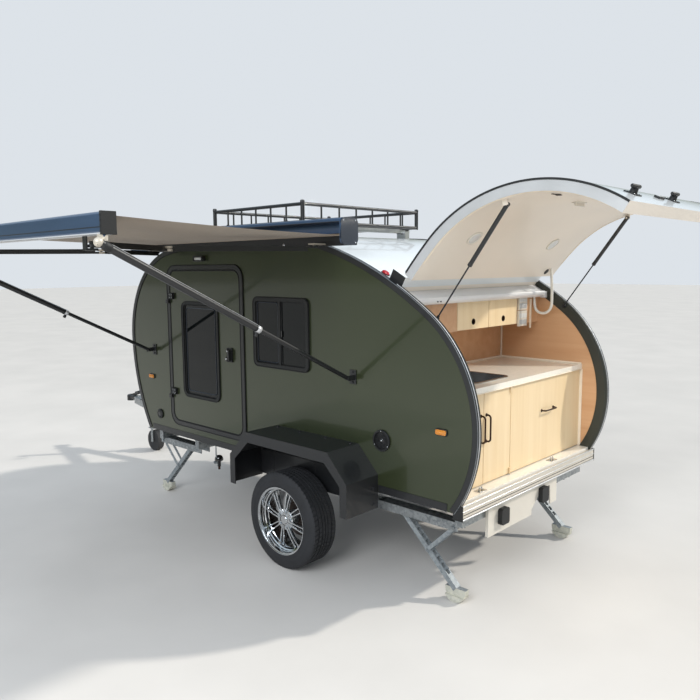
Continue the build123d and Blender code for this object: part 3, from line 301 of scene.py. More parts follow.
shoe_zinc = spangled("shoe_galvanised", (212, 210, 196), (184, 184, 172), 60, rough=0.55, metal=0.3)
black_steel = material("black_steel", (26, 27, 29), 0.38, metal=0.2, coat=0.4, spread=0.15, bump=0.1,
                       bump_scale=400)
polished = material("polished_alloy", (214, 216, 218), 0.13, metal=1.0, spread=0.04, scale=20)
gunmetal = material("dark_alloy", (44, 46, 50), 0.35, metal=0.6, spread=0.12, scale=20)
cast_iron = material("brake_iron", (58, 48, 43), 0.55, metal=0.6, spread=0.2, scale=30, bump=0.1)
caliper_grey = material("caliper_grey", (150, 152, 154), 0.45, metal=0.7, spread=0.1, scale=30, bump=0.2)
rubber = material("tyre_rubber", (34, 35, 38), 0.72, spread=0.18, scale=14, bump=0.2, bump_scale=260)
grey_rubber = material("wheel_rubber", (46, 46, 47), 0.75, spread=0.15, scale=20, bump=0.2)
slate = material("slate_blue", (58, 80, 108), 0.32, metal=0.3, coat=0.5, coat_rough=0.12, spread=0.06,
                 scale=(2, 20, 20), bump=0.04)
dark_slate = material("dark_slate", (28, 36, 48), 0.4, metal=0.2, coat=0.3)
cloth = woven("tan_cloth", (150, 130, 106), (118, 100, 80), 0.0012)
ticking = woven("mattress_cloth", (196, 190, 180), (160, 154, 146), 0.002)
cream_hose = material("cream_hose", (228, 224, 214), 0.4, spread=0.04, scale=30, bump=0.1)
cream_trim = material("cream_trim", (236, 222, 200), 0.4, spread=0.04, scale=20)
bronze = material("dark_bronze", (58, 40, 30), 0.32, metal=0.7, spread=0.2, scale=60)
edge_seal = material("edge_seal", (44, 46, 38), 0.5, spread=0.12, bump=0.1)
beam_white = material("beam_white", (222, 222, 222), 0.32, metal=0.15, coat=0.3, spread=0.03, scale=6)
# A mid grey that paints the highlight line along the black wall trims.
painted_highlight_grey = material("painted_highlight_grey", (126, 132, 136), 0.4, metal=0.5, spread=0.05, scale=8)
light_key = material("light_key", (214, 214, 210), 0.4, spread=0.03, scale=50)
grey_key = material("grey_key", (178, 180, 180), 0.4, spread=0.03, scale=50)
pale_cast = material("pale_cast", (198, 190, 176), 0.45, metal=0.3, spread=0.06, scale=30, bump=0.1)
step_white = material("step_laminate", (238, 233, 222), 0.3, coat=0.3, spread=0.02, scale=6)
sill_alloy = material("sill_alloy", (214, 207, 194), 0.32, metal=0.55, spread=0.04, scale=(4, 60, 4),
                      bump=0.04, bump_scale=40, bump_size=(1, 12, 1))
gloss_black = material("gloss_black", (14, 14, 15), 0.1, coat=0.6, spread=0.1)


# Finish of the CAD nodes


def finish(name, *rules):
    """A rule is a material, or a material and a test on a face's centre and normal in working axes."""
    rules = [rule if isinstance(rule, tuple) else (rule, lambda c, n: True) for rule in rules]
    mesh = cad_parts[name].data
    mesh.materials.clear()
    for rule in rules:
        mesh.materials.append(rule[0])
    if len(rules) > 1:
        for face in mesh.polygons:
            centre = face.center - SHIFT
            face.material_index = next(i for i, rule in enumerate(rules) if rule[1](centre, face.normal))


for look, names in (
        (black_satin, "edge_trims door_frames fenders leg_inner_rear leg_inner_front"),
        (black_plastic, "side_windows wall_vents"), (dark_glass, "side_panes"),
        (black_steel, "strut_cylinder_left strut_cylinder_right coupler"),
        (gunmetal, "strut_rod_left strut_rod_right"), (rubber, "tyre_left tyre_right"),
        (zinc, "axle chassis jockey_fork"), (grey_rubber, "jockey_wheel"),
        (cloth, "awning_fabric"), (ticking, "mattress"), (cream_hose, "hatch_cable")):
    for name in names.split():
        finish(name, look)


def on_outer_skin(c, n):
    return outline_depth(c.x, c.z) > -0.002


def on_open_hatch_skin(c, n):
    x, y, z = swing(c, -hatch_turn)
    return outline_depth(x, z) > 0.05


finish("body_walls", (green, lambda c, n: abs(c.y) > body_y - 0.004),
       (black_satin, lambda c, n: abs(n.y) < 0.5), wall_wood)
finish("body_skins", (white_skin, lambda c, n: outline_depth(c.x, c.z) > -0.004), liner)
finish("floor", (under_board, lambda c, n: n.z < -0.5), plywood)
for side, _ in SIDES:
    finish("door_" + side,
           (dark_glass, lambda c, n: 0.7435 < abs(c.y) < 0.7495 and 0.861 < c.x < 1.258
            and 0.874 < c.z < 1.522 and abs(n.y) > 0.9),
           (black_plastic, lambda c, n: abs(c.y) > 0.7545 or (0.84 < c.x < 1.28 and 0.85 < c.z < 1.545)),
           (green, lambda c, n: abs(c.y) > 0.74), liner)
    finish("rim_" + side, (cast_iron, lambda c, n: wheel_inner + 0.033 < abs(c.y) < wheel_inner + 0.045),
           polished)
finish("side_lamps", (black_plastic, lambda c, n: c.z > 1.5), amber)
finish("galley_step", (steel, lambda c, n: c.z > 0.6005), step_white)
finish("worktop", (steel, lambda c, n: -0.98 < c.x < -0.62 and 0.02 < c.y < 0.42
                   and (c.z > 1.1401 or c.z < 1.107)), worktop_look)
finish("galley_units", (wall_wood, lambda c, n: c.z > 1.39 and (c.y > 0.22 or c.y < -0.44)),
       (maple_level, lambda c, n: c.x < -0.47 and abs(n.x) > 0.5), wall_wood)
for name in ("galley_door_left", "galley_door_right", "galley_drawer"):
    finish(name, (bronze, lambda c, n: c.x < -1.0401 and 0.82 < c.z < 1.0), maple)
for side, pull_y in pulls:
    finish("flap_" + side, (bronze, lambda c, n: abs(c.z - pull_z) < 0.0149 and abs(n.x) < 0.5
                            and abs(n.z) < 0.999 and abs(c.y - pull_y) < 0.016), maple)
finish("hatch_header", (black_satin, lambda c, n: on_outer_skin(c, n) and abs(c.y) > 0.72),
       (white_skin, on_outer_skin), beam_white)
finish("hatch_panel", (silver_edge, lambda c, n: abs(c.y) > 0.7535), (white_skin, on_open_hatch_skin), liner)
finish("jockey_tube", (black_plastic, lambda c, n: c.z > 0.853), zinc)
finish("roof_rack", (aluminium, lambda c, n: c.z < 2.045), black_satin)
finish("awning_cassette",
       (cloth, lambda c, n: hypot(c.y - 0.792, c.z - 1.968) < 0.0245 and abs(n.x) < 0.5),
       (pale_cast, lambda c, n: 1.89 < c.z < 1.925 and c.y > 0.766
        and (-0.22 < c.x < -0.14 or 1.42 < c.x < 1.50)),
       (dark_slate, lambda c, n: c.x < -0.4405 or c.x > 1.7205),
       (black_satin, lambda c, n: c.y < 0.766 or c.z < 1.9), slate)
finish("lead_rail", (pale_cast, lambda c, n: c.z < 1.9125 and (c.x < -0.34 or c.x > 1.61)),
       (black_satin, lambda c, n: c.z < 1.9125), slate)
for (end, head_x), elbow_x in zip(head_xs, (0.267461, 1.012539)):
    for arm in ("arm_upper_", "arm_fore_"):
        finish(arm + end, (pale_cast, lambda c, n: hypot(c.x - elbow_x, c.y - elbow_y) < 0.026), black_satin)
    finish("leg_outer_" + end,
           (pale_cast, lambda c, n: (c - Vector((head_x, head_y, head_z))).length < 0.026), black_satin)
for end, foot_x, way in steady_ends:
    for side, _ in SIDES:
        finish(f"steady_brace_{end}_{side}", leg_zinc)
        finish(f"steady_leg_{end}_{side}", (shoe_zinc, lambda c, n: c.z < 0.075), leg_zinc)
finish("rear_sill", (black_plastic, lambda c, n: c.x < -1.1024 and c.z < 0.485),
       (panel_white, lambda c, n: c.z < 0.5115), sill_alloy)


# Mesh pieces. A Shape gathers simple solids, and put() makes it one piece that rides on a body.


class Shape:
    def __init__(self):
        self.verts, self.faces, self.looks, self.look = [], [], [], 0

    def add(self, verts, faces):
        base = len(self.verts)
        self.verts.extend(verts)
        self.faces.extend([[i + base for i in face] for face in faces])
        self.looks.extend([self.look] * len(faces))

    def box(self, x0, x1, y0, y1, z0, z1):
        xs, ys, zs = sorted((x0, x1)), sorted((y0, y1)), sorted((z0, z1))
        self.add([(x, y, z) for x in xs for y in ys for z in zs], BOX)

    def strip(self, rows, around=False, along=False, caps=()):
        """A skin through rows of one length; around closes each row, along joins the last to the first."""
        high, wide = len(rows), len(rows[0])
        faces = []
        for i in range(high if along else high - 1):
            for k in range(wide if around else wide - 1):
                j, m = (i + 1) % high, (k + 1) % wide
                faces.append((i * wide + k, i * wide + m, j * wide + m, j * wide + k))
        self.add([tuple(p) for row in rows for p in row], faces + list(caps))

    def tube(self, points, radius, sides, closed_loop=False, flat=1.0, up=None):
        """A round or, with flat below 1, an oval bar. radius is one number or a list for the points."""
        points = [Vector(p) for p in points]
        count = len(points)
        radii = radius if isinstance(radius, list) else [radius] * count
        turns = [2 * pi * k / sides for k in range(sides)]
        rings, side = [], None
        for i, p in enumerate(points):
            ahead = points[(i + 1) % count] if closed_loop or i + 1 < count else p
            behind = points[i - 1] if closed_loop or i else p
            way = (ahead - behind).normalized()
            if side is None:
                side = way.cross(Vector(up or ((0, 0, 1) if abs(way.z) < 0.9 else (1, 0, 0)))).normalized()
            side = (side - way * side.dot(way)).normalized()
            other = way.cross(side)
            rings.append([p + (side * cos(t) + other * sin(t) * flat) * radii[i] for t in turns])
        caps = () if closed_loop else (range(sides - 1, -1, -1), range((count - 1) * sides, count * sides))
        self.strip(rings, around=True, along=closed_loop, caps=caps)

    def rod(self, start, end, radius, sides):
        self.tube([start, end], radius, sides)

    def lathe(self, profile, centre, steps, axis="y", join=False, start=0, sweep=360, way=1):
        """Turns (radius, place along the axis) points about an axis through centre."""
        cx, cy, cz = centre
        whole = sweep == 360
        rows = []
        for i in range(steps if whole else steps + 1):
            a = radians(start + sweep * i / steps)
            row = []
            for radius, along in profile:
                u, v, w = radius * cos(a), radius * sin(a), way * along
                row.append({"y": (cx + u, cy + w, cz + v), "z": (cx + u, cy + v, cz + w),
                            "x": (cx + w, cy + u, cz + v)}[axis])
            rows.append(row)
        self.strip(rows, around=join, along=whole)


def add_object(name, data):
    obj = bpy.data.objects.new(name, data)
    bpy.context.scene.collection.objects.link(obj)
    return obj


def put(shape, name, looks, body, move=None, bevel=0.0, sharp=38, mirror_y=False):
    """One mesh piece; with mirror_y the shape and its mirror image are both in it."""
    verts = [move(v) for v in shape.verts] if move else list(shape.verts)
    faces, used = list(shape.faces), list(shape.looks)
    if mirror_y:
        base = len(verts)
        verts += [flipped(v) for v in verts]
        faces += [[i + base for i in reversed(face)] for face in faces]
        used += used
    mesh = bpy.data.meshes.new(name)
    mesh.from_pydata([tuple(Vector(v) + SHIFT) for v in verts], [], faces)
    for look in looks if isinstance(looks, list) else [looks]:
        mesh.materials.append(look)
    mesh.polygons.foreach_set("material_index", used)
    mesh.validate()
    work = bmesh.new()
    work.from_mesh(mesh)
    bmesh.ops.remove_doubles(work, verts=work.verts, dist=0.00001)
    bmesh.ops.recalc_face_normals(work, faces=work.faces)
    work.to_mesh(mesh)
    work.free()
    mesh.shade_smooth()
    mesh.set_sharp_from_angle(angle=radians(sharp))
    obj = add_object(name, mesh)
    if bevel:
        cut = obj.modifiers.new("edges", "BEVEL")
        cut.width, cut.segments, cut.limit_method, cut.angle_limit = bevel, 2, "ANGLE", radians(35)
    if body:
        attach(obj, body)
    return obj


# Loops, crowned lenses and small screws that several pieces share


def rounded(u0, u1, v0, v1, corner, steps):
    """A rectangle with round corners, as (u, v) points."""
    points = []
    for cu, cv, first in ((u1 - corner, v1 - corner, 0), (u0 + corner, v1 - corner, 90),
                          (u0 + corner, v0 + corner, 180), (u1 - corner, v0 + corner, 270)):
        for step in range(steps + 1):
            a = radians(first + 90 * step / steps)
            points.append((cu + corner * cos(a), cv + corner * sin(a)))
    return points


def gasket(shape, x0, x1, z0, z1, corner, y, radius):
    """A round seal along a round-cornered loop in the plane of a side wall."""
    shape.tube([(x, y, z) for x, z in rounded(x0, x1, z0, z1, corner, 6)], radius, 8, closed_loop=True)


def crowned(shape, x0, x1, z0, z1, y, rise):
    """A lens that swells towards its middle."""
    shape.strip([[(x0 + (x1 - x0) * i / 12, y + rise * (1 - (i / 6 - 1) ** 4) * (1 - (k / 4 - 1) ** 4),
                   z0 + (z1 - z0) * k / 8) for k in range(9)] for i in range(13)])


def screw(shape, x, y, z, radius, axis="y", way=1):
    rise = radius * 0.55
    shape.lathe([(0, rise), (radius * 0.5, rise * 0.9), (radius * 0.9, rise * 0.45), (radius, 0)],
                (x, y, z), 12, axis, way=way)


def hex_bolt(shape, x, y, z, radius, axis="y", way=1, washer=True):
    tall = radius * 0.75
    if washer:
        shape.lathe([(0, tall * 0.25), (radius * 1.5, tall * 0.25), (radius * 1.55, 0)], (x, y, z), 20,
                    axis, way=way)
    shape.lathe([(0, tall * 1.25), (radius * 0.85, tall * 1.25), (radius, tall * 1.1), (radius, 0)],
                (x, y, z), 6, axis, way=way)


# Tyres: the same form with grooves and sipes
pitches = 64
side_wall = [(0.193, -0.0855), (0.196, -0.0895), (0.208, -0.0945), (0.214, -0.0962), (0.2165, -0.0955),
             (0.236, -0.0972), (0.244, -0.0975), (0.2475, -0.0962), (0.262, -0.0945), (0.274, -0.0915),
             (0.281, -0.087)]
rib_edges = [(-0.0815, 0), (-0.0545, 0), (-0.0535, 1), (-0.0475, 1), (-0.0465, 0), (-0.0255, 0),
             (-0.0245, 1), (-0.0185, 1), (-0.0175, 0), (-0.0035, 0), (-0.003, 1)]
rib_edges += [(-y, deep) for y, deep in reversed(rib_edges)]
# Columns: radius, place across, depth of the sipes
profile = [(r, y, 0) for r, y in side_wall]
profile += [(tyre_radius - 0.0072 * deep, y, 0 if deep else (0.0045 if abs(y) > 0.046 else 0.0025))
            for y, deep in rib_edges]
profile += [(r, -y, 0) for r, y in reversed(side_wall)]
for side, way in SIDES:
    rows = []
    for pitch in range(pitches):
        for part, low in ((0.0, 1), (0.10, 1), (0.13, 0), (0.97, 0)):
            row = []
            for radius, y, sipe in profile:
                r = radius - sipe * low
                a = 2 * pi * (pitch + part) / pitches + 0.9 * abs(y)
                row.append((r * cos(a), way * (wheel_mid + y), tyre_radius + r * sin(a)))
            rows.append(row)
    tyre = Shape()
    tyre.strip(rows + [rows[0]])
    piece = put(tyre, "tyre_tread_" + side, rubber, "wheel_" + side, sharp=30)
    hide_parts("tyre_" + side)

# Wheels: stepped polished lip, eight twin spokes, hub with nuts, brake disc
lip = [(0.200, 0.0965), (0.2025, 0.0965), (0.2025, 0.0925), (0.193, 0.091), (0.191, 0.084), (0.1895, 0.070),
       (0.1875, 0.0685), (0.1865, 0.058), (0.180, 0.054), (0.1775, 0.040), (0.173, 0.036), (0.1725, 0.0),
       (0.1725, -0.050), (0.188, -0.062), (0.189, -0.0965), (0.202, -0.0965), (0.202, -0.0925),
       (0.193, -0.091), (0.192, -0.060), (0.177, -0.050), (0.177, 0.040), (0.192, 0.062), (0.193, 0.090),
       (0.200, 0.0925)]
hub_face = [(0.0, 0.066), (0.024, 0.066), (0.0265, 0.0635), (0.028, 0.060), (0.034, 0.0605),
            (0.062, 0.0575), (0.066, 0.052), (0.066, 0.036), (0.0, 0.036)]
pocket = [(0.1718, 0.044), (0.1756, 0.0495), (0.1776, 0.0545)]
disc = [(0.040, -0.053), (0.128, -0.053), (0.128, -0.0635), (0.040, -0.0635)]
hat = [(0.074, -0.053), (0.074, -0.028), (0.070, -0.024), (0.040, -0.024)]
hub = [(0.0175, -0.0795), (0.042, -0.0795), (0.042, 0.0362), (0.0175, 0.0362)]
spoke = [(0.034, 0.0100, 0.0620), (0.060, 0.0085, 0.0620), (0.110, 0.0070, 0.0600),
         (0.150, 0.0072, 0.0550), (0.1755, 0.0095, 0.0490)]
for side, way in SIDES:
    rim = Shape()
    centre = (0, way * wheel_mid, tyre_radius)
    rim.lathe(lip, centre, 72, join=True, way=way)
    for index in range(8):
        a = radians(45 * index + 12)
        for twin in (-1, 1):
            rows = []
            for reach, wide, out in spoke:
                apart = 0.0075 + 0.055 * (reach - 0.034)
                row = []
                for across, depth in ((-wide, 0), (-wide, 1), (-wide * 0.65, 1.25), (wide * 0.65, 1.25),
                                      (wide, 1), (wide, 0), (-wide, 0)):
                    v = twin * apart + across * 0.62
                    row.append((reach * cos(a) - v * sin(a),
                                way * (wheel_mid + out - 0.016 + 0.0145 * depth),
                                tyre_radius + reach * sin(a) + v * cos(a)))
                rows.append(row)
            rim.strip(rows)
    rim.lathe(hub_face, centre, 40, way=way)
    for index in range(5):
        a = radians(72 * index + 30)
        rim.rod(*[(0.049 * cos(a), way * (wheel_mid + out), tyre_radius + 0.049 * sin(a))
                  for out in (0.052, 0.0685)], 0.0085, 6)
    rim.look = 1
    for index in range(8):
        rim.lathe(pocket, centre, 8, start=45 * index + 25, sweep=19, way=way)
    rim.look = 2
    rim.lathe(disc, centre, 64, join=True, way=way)
    rim.lathe(hat, centre, 40, way=way)
    rim.look = 3
    rim.lathe(hub, centre, 32, join=True, way=way)
    piece = put(rim, "wheel_face_" + side, [polished, gunmetal, cast_iron, zinc], "wheel_" + side,
                sharp=32)
    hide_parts("rim_" + side)

# Brake calipers on the axle's arms
for side, way in SIDES:
    caliper = Shape()
    y0, y1 = way * (wheel_inner + 0.020), way * (wheel_inner + 0.062)
    section = ((0.100, y0), (0.138, y0), (0.150, y0), (0.150, y1), (0.138, y1), (0.100, y1), (0.100, y0))
    caliper.strip([[(r * cos(radians(turn)), y, tyre_radius + r * sin(radians(turn))) for r, y in section]
                   for turn in range(118, 173, 9)])
    put(caliper, "brake_caliper_" + side, caliper_grey, "trailer", bevel=0.003)

# Beads along the outer edge of each wall trim, the light grey one a painted highlight along the black trim,
# and bands along the hatch's edges
bead = Shape()
places = evenly(rear_bottom, front_bottom, 90)
# The light grey bead on the trim's outer edge is a painted highlight: it stands for the light line along the
# black trim's edge.
bead.tube([at(a, 0.0045, 0.7545) for a in places], 0.0013, 8)
bead.look = 1
bead.tube([at(a, -0.0275, 0.7515) for a in places], 0.0017, 8)
put(bead, "trim_beads", [painted_highlight_grey, seal], "trailer", mirror_y=True)

hatch_edge = Shape()
section = [(0.058, 0.7535), (0.058, 0.7565), (0.0675, 0.7565), (0.0675, 0.748)]
hatch_edge.strip([[at(a, out, y) for out, y in section] for a in evenly(tail, seam + 0.6, 60)])
put(hatch_edge, "hatch_edge_bands", black_satin, "hatch", move=opened, mirror_y=True)

# Doors: edge seal, glass gasket, bead of the frame, sliding sash, lock and hinge screws
for side, move in (("left", None), ("right", flipped)):
    seals = Shape()
    gasket(seals, 0.607, 1.425, 0.661, 1.758, 0.063, 0.7535, 0.0045)
    gasket(seals, 0.866, 1.253, 0.879, 1.517, 0.036, 0.7497, 0.0045)
    gasket(seals, 0.8435, 1.2755, 0.8565, 1.5395, 0.0545, 0.7615, 0.0028)
    seals.look = 1
    gasket(seals, 0.888, 1.231, 0.901, 1.495, 0.024, 0.7497, 0.0034)
    put(seals, "door_seals_" + side, [seal, dark_slate], "door_" + side, move=move)
    lock = Shape()
    key_place, knob_place = (0.733, 0.764, 1.224), (0.732, 0.764, 1.172)
    lock.lathe([(0, 0.0105), (0.0105, 0.0105), (0.012, 0.009), (0.012, 0)], key_place, 24)
    lock.lathe([(0, 0.020), (0.0125, 0.020), (0.0145, 0.0175), (0.0145, 0)], knob_place, 24)
    lock.box(0.703, 0.713, 0.782, 0.7845, 1.168, 1.224)
    for z in (1.156, 1.238):
        screw(lock, 0.741, 0.764, z, 0.0035)
    lock.look = 1
    lock.lathe([(0, 0.0118), (0.0055, 0.0116), (0.006, 0.0104)], key_place, 16)
    lock.lathe([(0, 0.0212), (0.0068, 0.021), (0.0072, 0.0198)], knob_place, 16)
    for z in hinge_zs:
        for x in (1.382, 1.406):
            for dz in (0.006, 0.026):
                screw(lock, x, 0.772, z + dz, 0.004)
    put(lock, "door_lock_" + side, [gloss_black, steel], "door_" + side, move=move,
        bevel=0.0006)

# Beads of the door frames and side windows, sash gaskets, latches, hinge screws
beads = Shape()
gasket(beads, 0.571, 1.461, 0.625, 1.794, 0.091, 0.7555, 0.0034)
gasket(beads, -0.0465, 0.4615, 1.1535, 1.5905, 0.0385, 0.7618, 0.0032)
for x0, x1 in ((-0.0225, 0.2005), (0.2255, 0.4375)):
    gasket(beads, x0, x1, 1.1775, 1.5665, 0.020, 0.7503, 0.0042)
beads.look = 1
gasket(beads, 0.2335, 0.4295, 1.1855, 1.5585, 0.016, 0.7515, 0.0026)
beads.look = 2
beads.box(0.1915, 0.2008, 0.750, 0.7575, 1.352, 1.388)
for z in hinge_zs:
    for dz in (-0.031, -0.017):
        screw(beads, 1.4445, 0.775, z + dz, 0.0042)
put(beads, "opening_beads", [seal, dark_slate, gloss_black], "trailer", mirror_y=True)

# Lamps: bezels and crowned ribbed lenses
lenses = Shape()
for x, z in ((1.721, 0.954), (-1.006, 0.946)):
    lenses.look = 0
    gasket(lenses, x - 0.0335, x + 0.0335, z - 0.0145, z + 0.0145, 0.0095, 0.7535, 0.0042)
    lenses.look = 1
    crowned(lenses, x - 0.0305, x + 0.0305, z - 0.0115, z + 0.0115, 0.7618, 0.0042)
    for k in range(-4, 5):
        lenses.rod((x + 0.006 * k, 0.7655, z - 0.0085), (x + 0.006 * k, 0.7655, z + 0.0085), 0.0011, 6)
lenses.look = 0
gasket(lenses, 0.9755, 1.0845, 1.8235, 1.8545, 0.010, 0.7752, 0.0036)
lenses.look = 2
crowned(lenses, 0.992, 1.068, 1.8295, 1.8485, 0.7758, 0.0048)
for k in range(-6, 7):
    lenses.rod((1.03 + 0.0055 * k, 0.7802, 1.8315), (1.03 + 0.0055 * k, 0.7802, 1.8465), 0.0009, 6)
put(lenses, "side_lamp_lenses", [black_plastic, amber, clear_lens], "trailer", mirror_y=True)

# Round vents with rings, louvres and screws, and the round inlet with its hinged lid
vent = Shape()
vent_x, vent_z = -0.610, 0.837
vent_place = (vent_x, 0.753, vent_z)
vent.lathe([(0, 0.0062), (0.010, 0.0062), (0.0115, 0.0045), (0.016, 0.0030), (0.044, 0.0012),
            (0.0478, 0.0003)], vent_place, 40)
for radius in (0.0205, 0.0275, 0.0345, 0.0415):
    vent.lathe([(radius - 0.0016, 0.0012), (radius - 0.001, 0.0052), (radius + 0.001, 0.0052),
                (radius + 0.0016, 0.0012)], vent_place, 40)
vent.lathe([(0.0545, 0.0092), (0.0575, 0.0092), (0.0592, 0.0070), (0.0596, 0)], vent_place, 48)
vent.look = 1
screw(vent, vent_x, 0.7592, vent_z, 0.0058)
for turn in (90, 210, 330):
    a = radians(turn)
    screw(vent, vent_x + 0.0528 * cos(a), 0.762, vent_z + 0.0528 * sin(a), 0.0038)
vent.look = 0
inlet_x, inlet_z = 1.622, 0.673
vent.lathe([(0, 0.0062), (0.0215, 0.0062), (0.0242, 0.0048), (0.0248, 0.0004)],
           (inlet_x, 0.753, inlet_z), 36)
vent.rod((inlet_x - 0.012, 0.7595, inlet_z + 0.0275), (inlet_x + 0.012, 0.7595, inlet_z + 0.0275), 0.0032, 10)
vent.rod((inlet_x - 0.008, 0.7600, inlet_z - 0.0225), (inlet_x + 0.008, 0.7600, inlet_z - 0.0225), 0.0026, 8)
put(vent, "vent_grilles", [black_satin, steel], "trailer", mirror_y=True)

# Broad seal band inside each wall's rear edge, with its bulb and a thin silver tube that paints the highlight
# line along that edge
seal_band = Shape()
places = evenly(seam - 0.5, rear_bottom - 1.2, 70)
section = [(0.0020, 0.7215), (-0.003, 0.7150), (-0.008, 0.7138), (-0.024, 0.7150), (-0.030, 0.7138),
           (-0.046, 0.7150), (-0.052, 0.7138), (-0.060, 0.7150), (-0.0625, 0.7199)]
seal_band.strip([[at(a, out, y) for out, y in section] for a in places])
seal_band.tube([at(a, 0.0012, 0.7232) for a in places], 0.0045, 10)
# The thin silver tube is a painted highlight, the light line along the rear edge's trim.
seal_band.look = 1
seal_band.tube([at(a, 0.0053, 0.7385) for a in places], 0.0021, 8)
put(seal_band, "rear_edge_seals", [edge_seal, silver_edge], "trailer", mirror_y=True)

# Red dome lamps on the roof ahead of the hatch
domes = Shape()
dome_angle = angle_at(x=-0.594)
base_x, base_z = outline(dome_angle, 0.0)
slope_x, slope_z = cos(radians(dome_angle)), sin(radians(dome_angle))
for look, sections in ((0, [(1.12, 0.0), (1.12, 0.0035), (1.02, 0.0045)]),
                       (1, [(1.0, 0.004), (0.96, 0.009), (0.82, 0.0135), (0.55, 0.0165), (0.25, 0.0175),
                            (0.0, 0.0178)])):
    domes.look = look
    rows = []
    for share, rise in sections:
        row = []
        for k in range(25):
            a = 2 * pi * k / 24
            u, v = 0.026 * share * cos(a), 0.015 * share * sin(a)
            row.append((base_x + slope_z * u + slope_x * rise, 0.700 + v,
                        base_z - slope_x * u + slope_z * rise))
        rows.append(row)
    domes.strip(rows)
put(domes, "roof_dome_lamps", [black_plastic, red_lens], "trailer", mirror_y=True)

# Rounded beam across the header, in two lengths with a joint, and its end blocks
header = Shape()
beam_x, beam_z = outline(seam + 2.3, -0.0370)
cross = (sin(radians(seam)), 0, -cos(radians(seam)))
for y0, y1, radius, flat in ((-0.690, -0.2285, 0.0225, 0.58), (-0.2235, 0.690, 0.0225, 0.58),
                             (-0.2300, -0.2220, 0.0218, 0.56)):
    header.tube([(beam_x, y0, beam_z), (beam_x, y1, beam_z)], radius, 28, flat=flat, up=cross)
for way in (1, -1):
    header.box(beam_x - 0.016, beam_x + 0.020, way * 0.688, way * 0.7192, beam_z - 0.026, beam_z + 0.016)
header.look = 1
for y in (0.478, 0.506):
    header.lathe([(0, -0.0032), (0.0035, -0.0028), (0.0048, 0.0)], (beam_x - 0.0178, y, beam_z - 0.004), 12,
                 "x")
put(header, "header_beam", [beam_white, black_plastic], "trailer", bevel=0.0012)

# Galley: switch column, cream corner strips, bead of the worktop
galley = Shape()
for z0, z1 in ((1.385, 1.4845), (1.4895, 1.577)):
    galley.look = 0
    galley.box(-0.7425, -0.7300, -0.5520, -0.4480, z0, z1)
    for i in range(4):
        for k in range(2):
            galley.look = 1 if k else 2
            y0, z = -0.542 + 0.023 * i, z0 + 0.012 + 0.040 * k
            galley.box(-0.7448, -0.7420, y0, y0 + 0.018, z, z + 0.030)
galley.look = 3
galley.box(-0.7385, -0.7300, -0.6160, -0.6040, 1.366, 1.557)
for y in (-0.7138, 0.7138):
    galley.rod((-0.4562, y, 1.141), (-0.4562, y, 1.399), 0.0062, 10)
galley.tube([(-0.4555, 0.714, 1.1445), (-0.4555, -0.7145, 1.1445), (-1.048, -0.7145, 1.1445)], 0.0055, 10)
galley.rod((-0.4555, 0.7145, 1.1445), (-1.048, 0.7145, 1.1445), 0.0055, 10)
galley.box(-1.0575, -1.0390, -0.7198, -0.7155, 0.602, 1.106)
galley.rod((-1.0530, -0.716, 1.1075), (-1.0530, 0.716, 1.1075), 0.0028, 8)
put(galley, "galley_trim", [panel_white, light_key, grey_key, cream_trim], "trailer",
    bevel=0.0008)

# Drain of the sink, bosses of the strut studs, strikers on the step
fittings = Shape()
drain_x, drain_y, drain_z = -0.800, 0.220, 1.022
striker_x = -1.083
fittings.lathe([(0.012, 0.0016), (0.030, 0.0018), (0.034, 0.0042), (0.0395, 0.0046), (0.041, 0.0008)],
               (drain_x, drain_y, drain_z), 36, "z")
for k in range(6):
    a = radians(60 * k)
    fittings.rod(*[(drain_x + r * cos(a), drain_y + r * sin(a), 1.0236) for r in (0.012, 0.031)], 0.0016, 6)
for way in (1, -1):
    fittings.lathe([(0, -0.0014), (0.0095, -0.0014), (0.0110, 0.0)], (stud_x, way * 0.7196, stud_z), 24,
                   way=way)
for y in (0.508, -0.277):
    fittings.box(-1.104, -1.062, y - 0.034, y + 0.034, 0.6002, 0.6030)
    for dy in (-0.026, 0.026):
        screw(fittings, striker_x, y + dy, 0.603, 0.0038, axis="z")
    fittings.tube([(striker_x, y + dy, z) for dy, z in (
        (-0.014, 0.6025), (-0.014, 0.612), (-0.010, 0.618), (0.010, 0.618), (0.014, 0.612), (0.014, 0.6025))],
        0.0032, 10)
# The flat gloss black disc under the drain's grid is painted shade: it stands for the dark inside of the
# drain hole.
fittings.look = 1
fittings.lathe([(0, 0.0006), (0.0295, 0.0006)], (drain_x, drain_y, drain_z), 30, "z")
put(fittings, "galley_fittings", [steel, gloss_black], "trailer", bevel=0.0006)

for side, y in pulls:
    hole = Shape()
    hole.lathe([(0.0148, 0.014), (0.0148, -0.0008), (0.0158, -0.0022), (0.0176, -0.0022), (0.0190, 0.0)],
               (-0.730, y, pull_z), 30, "x")
    # The gloss black disc at the bottom of the pull hole is painted shade, the dark seen down the hole.
    hole.look = 1
    hole.lathe([(0, 0.0135), (0.0149, 0.0135)], (-0.730, y, pull_z), 24, "x")
    put(hole, "flap_pull_" + side, [bronze, gloss_black], "flap_" + side)

for name, places in (("door_left", [(0.444, 0.838), (0.444, 0.982)]),
                     ("door_right", [(0.392, 0.838), (0.392, 0.982)]),
                     ("drawer", [(-0.361, 0.910), (-0.217, 0.910)])):
    roses = Shape()
    for y, z in places:
        roses.lathe([(0.0049, -0.0050), (0.0072, -0.0042), (0.0095, -0.0012), (0.0100, 0.0)],
                    (-1.040, y, z), 20, "x")
    put(roses, "handle_roses_" + name, bronze, "galley_" + name)

# Hatch: inner lamps, latch plates, grommet, seal and the T-handles on its tail, made closed, turned open


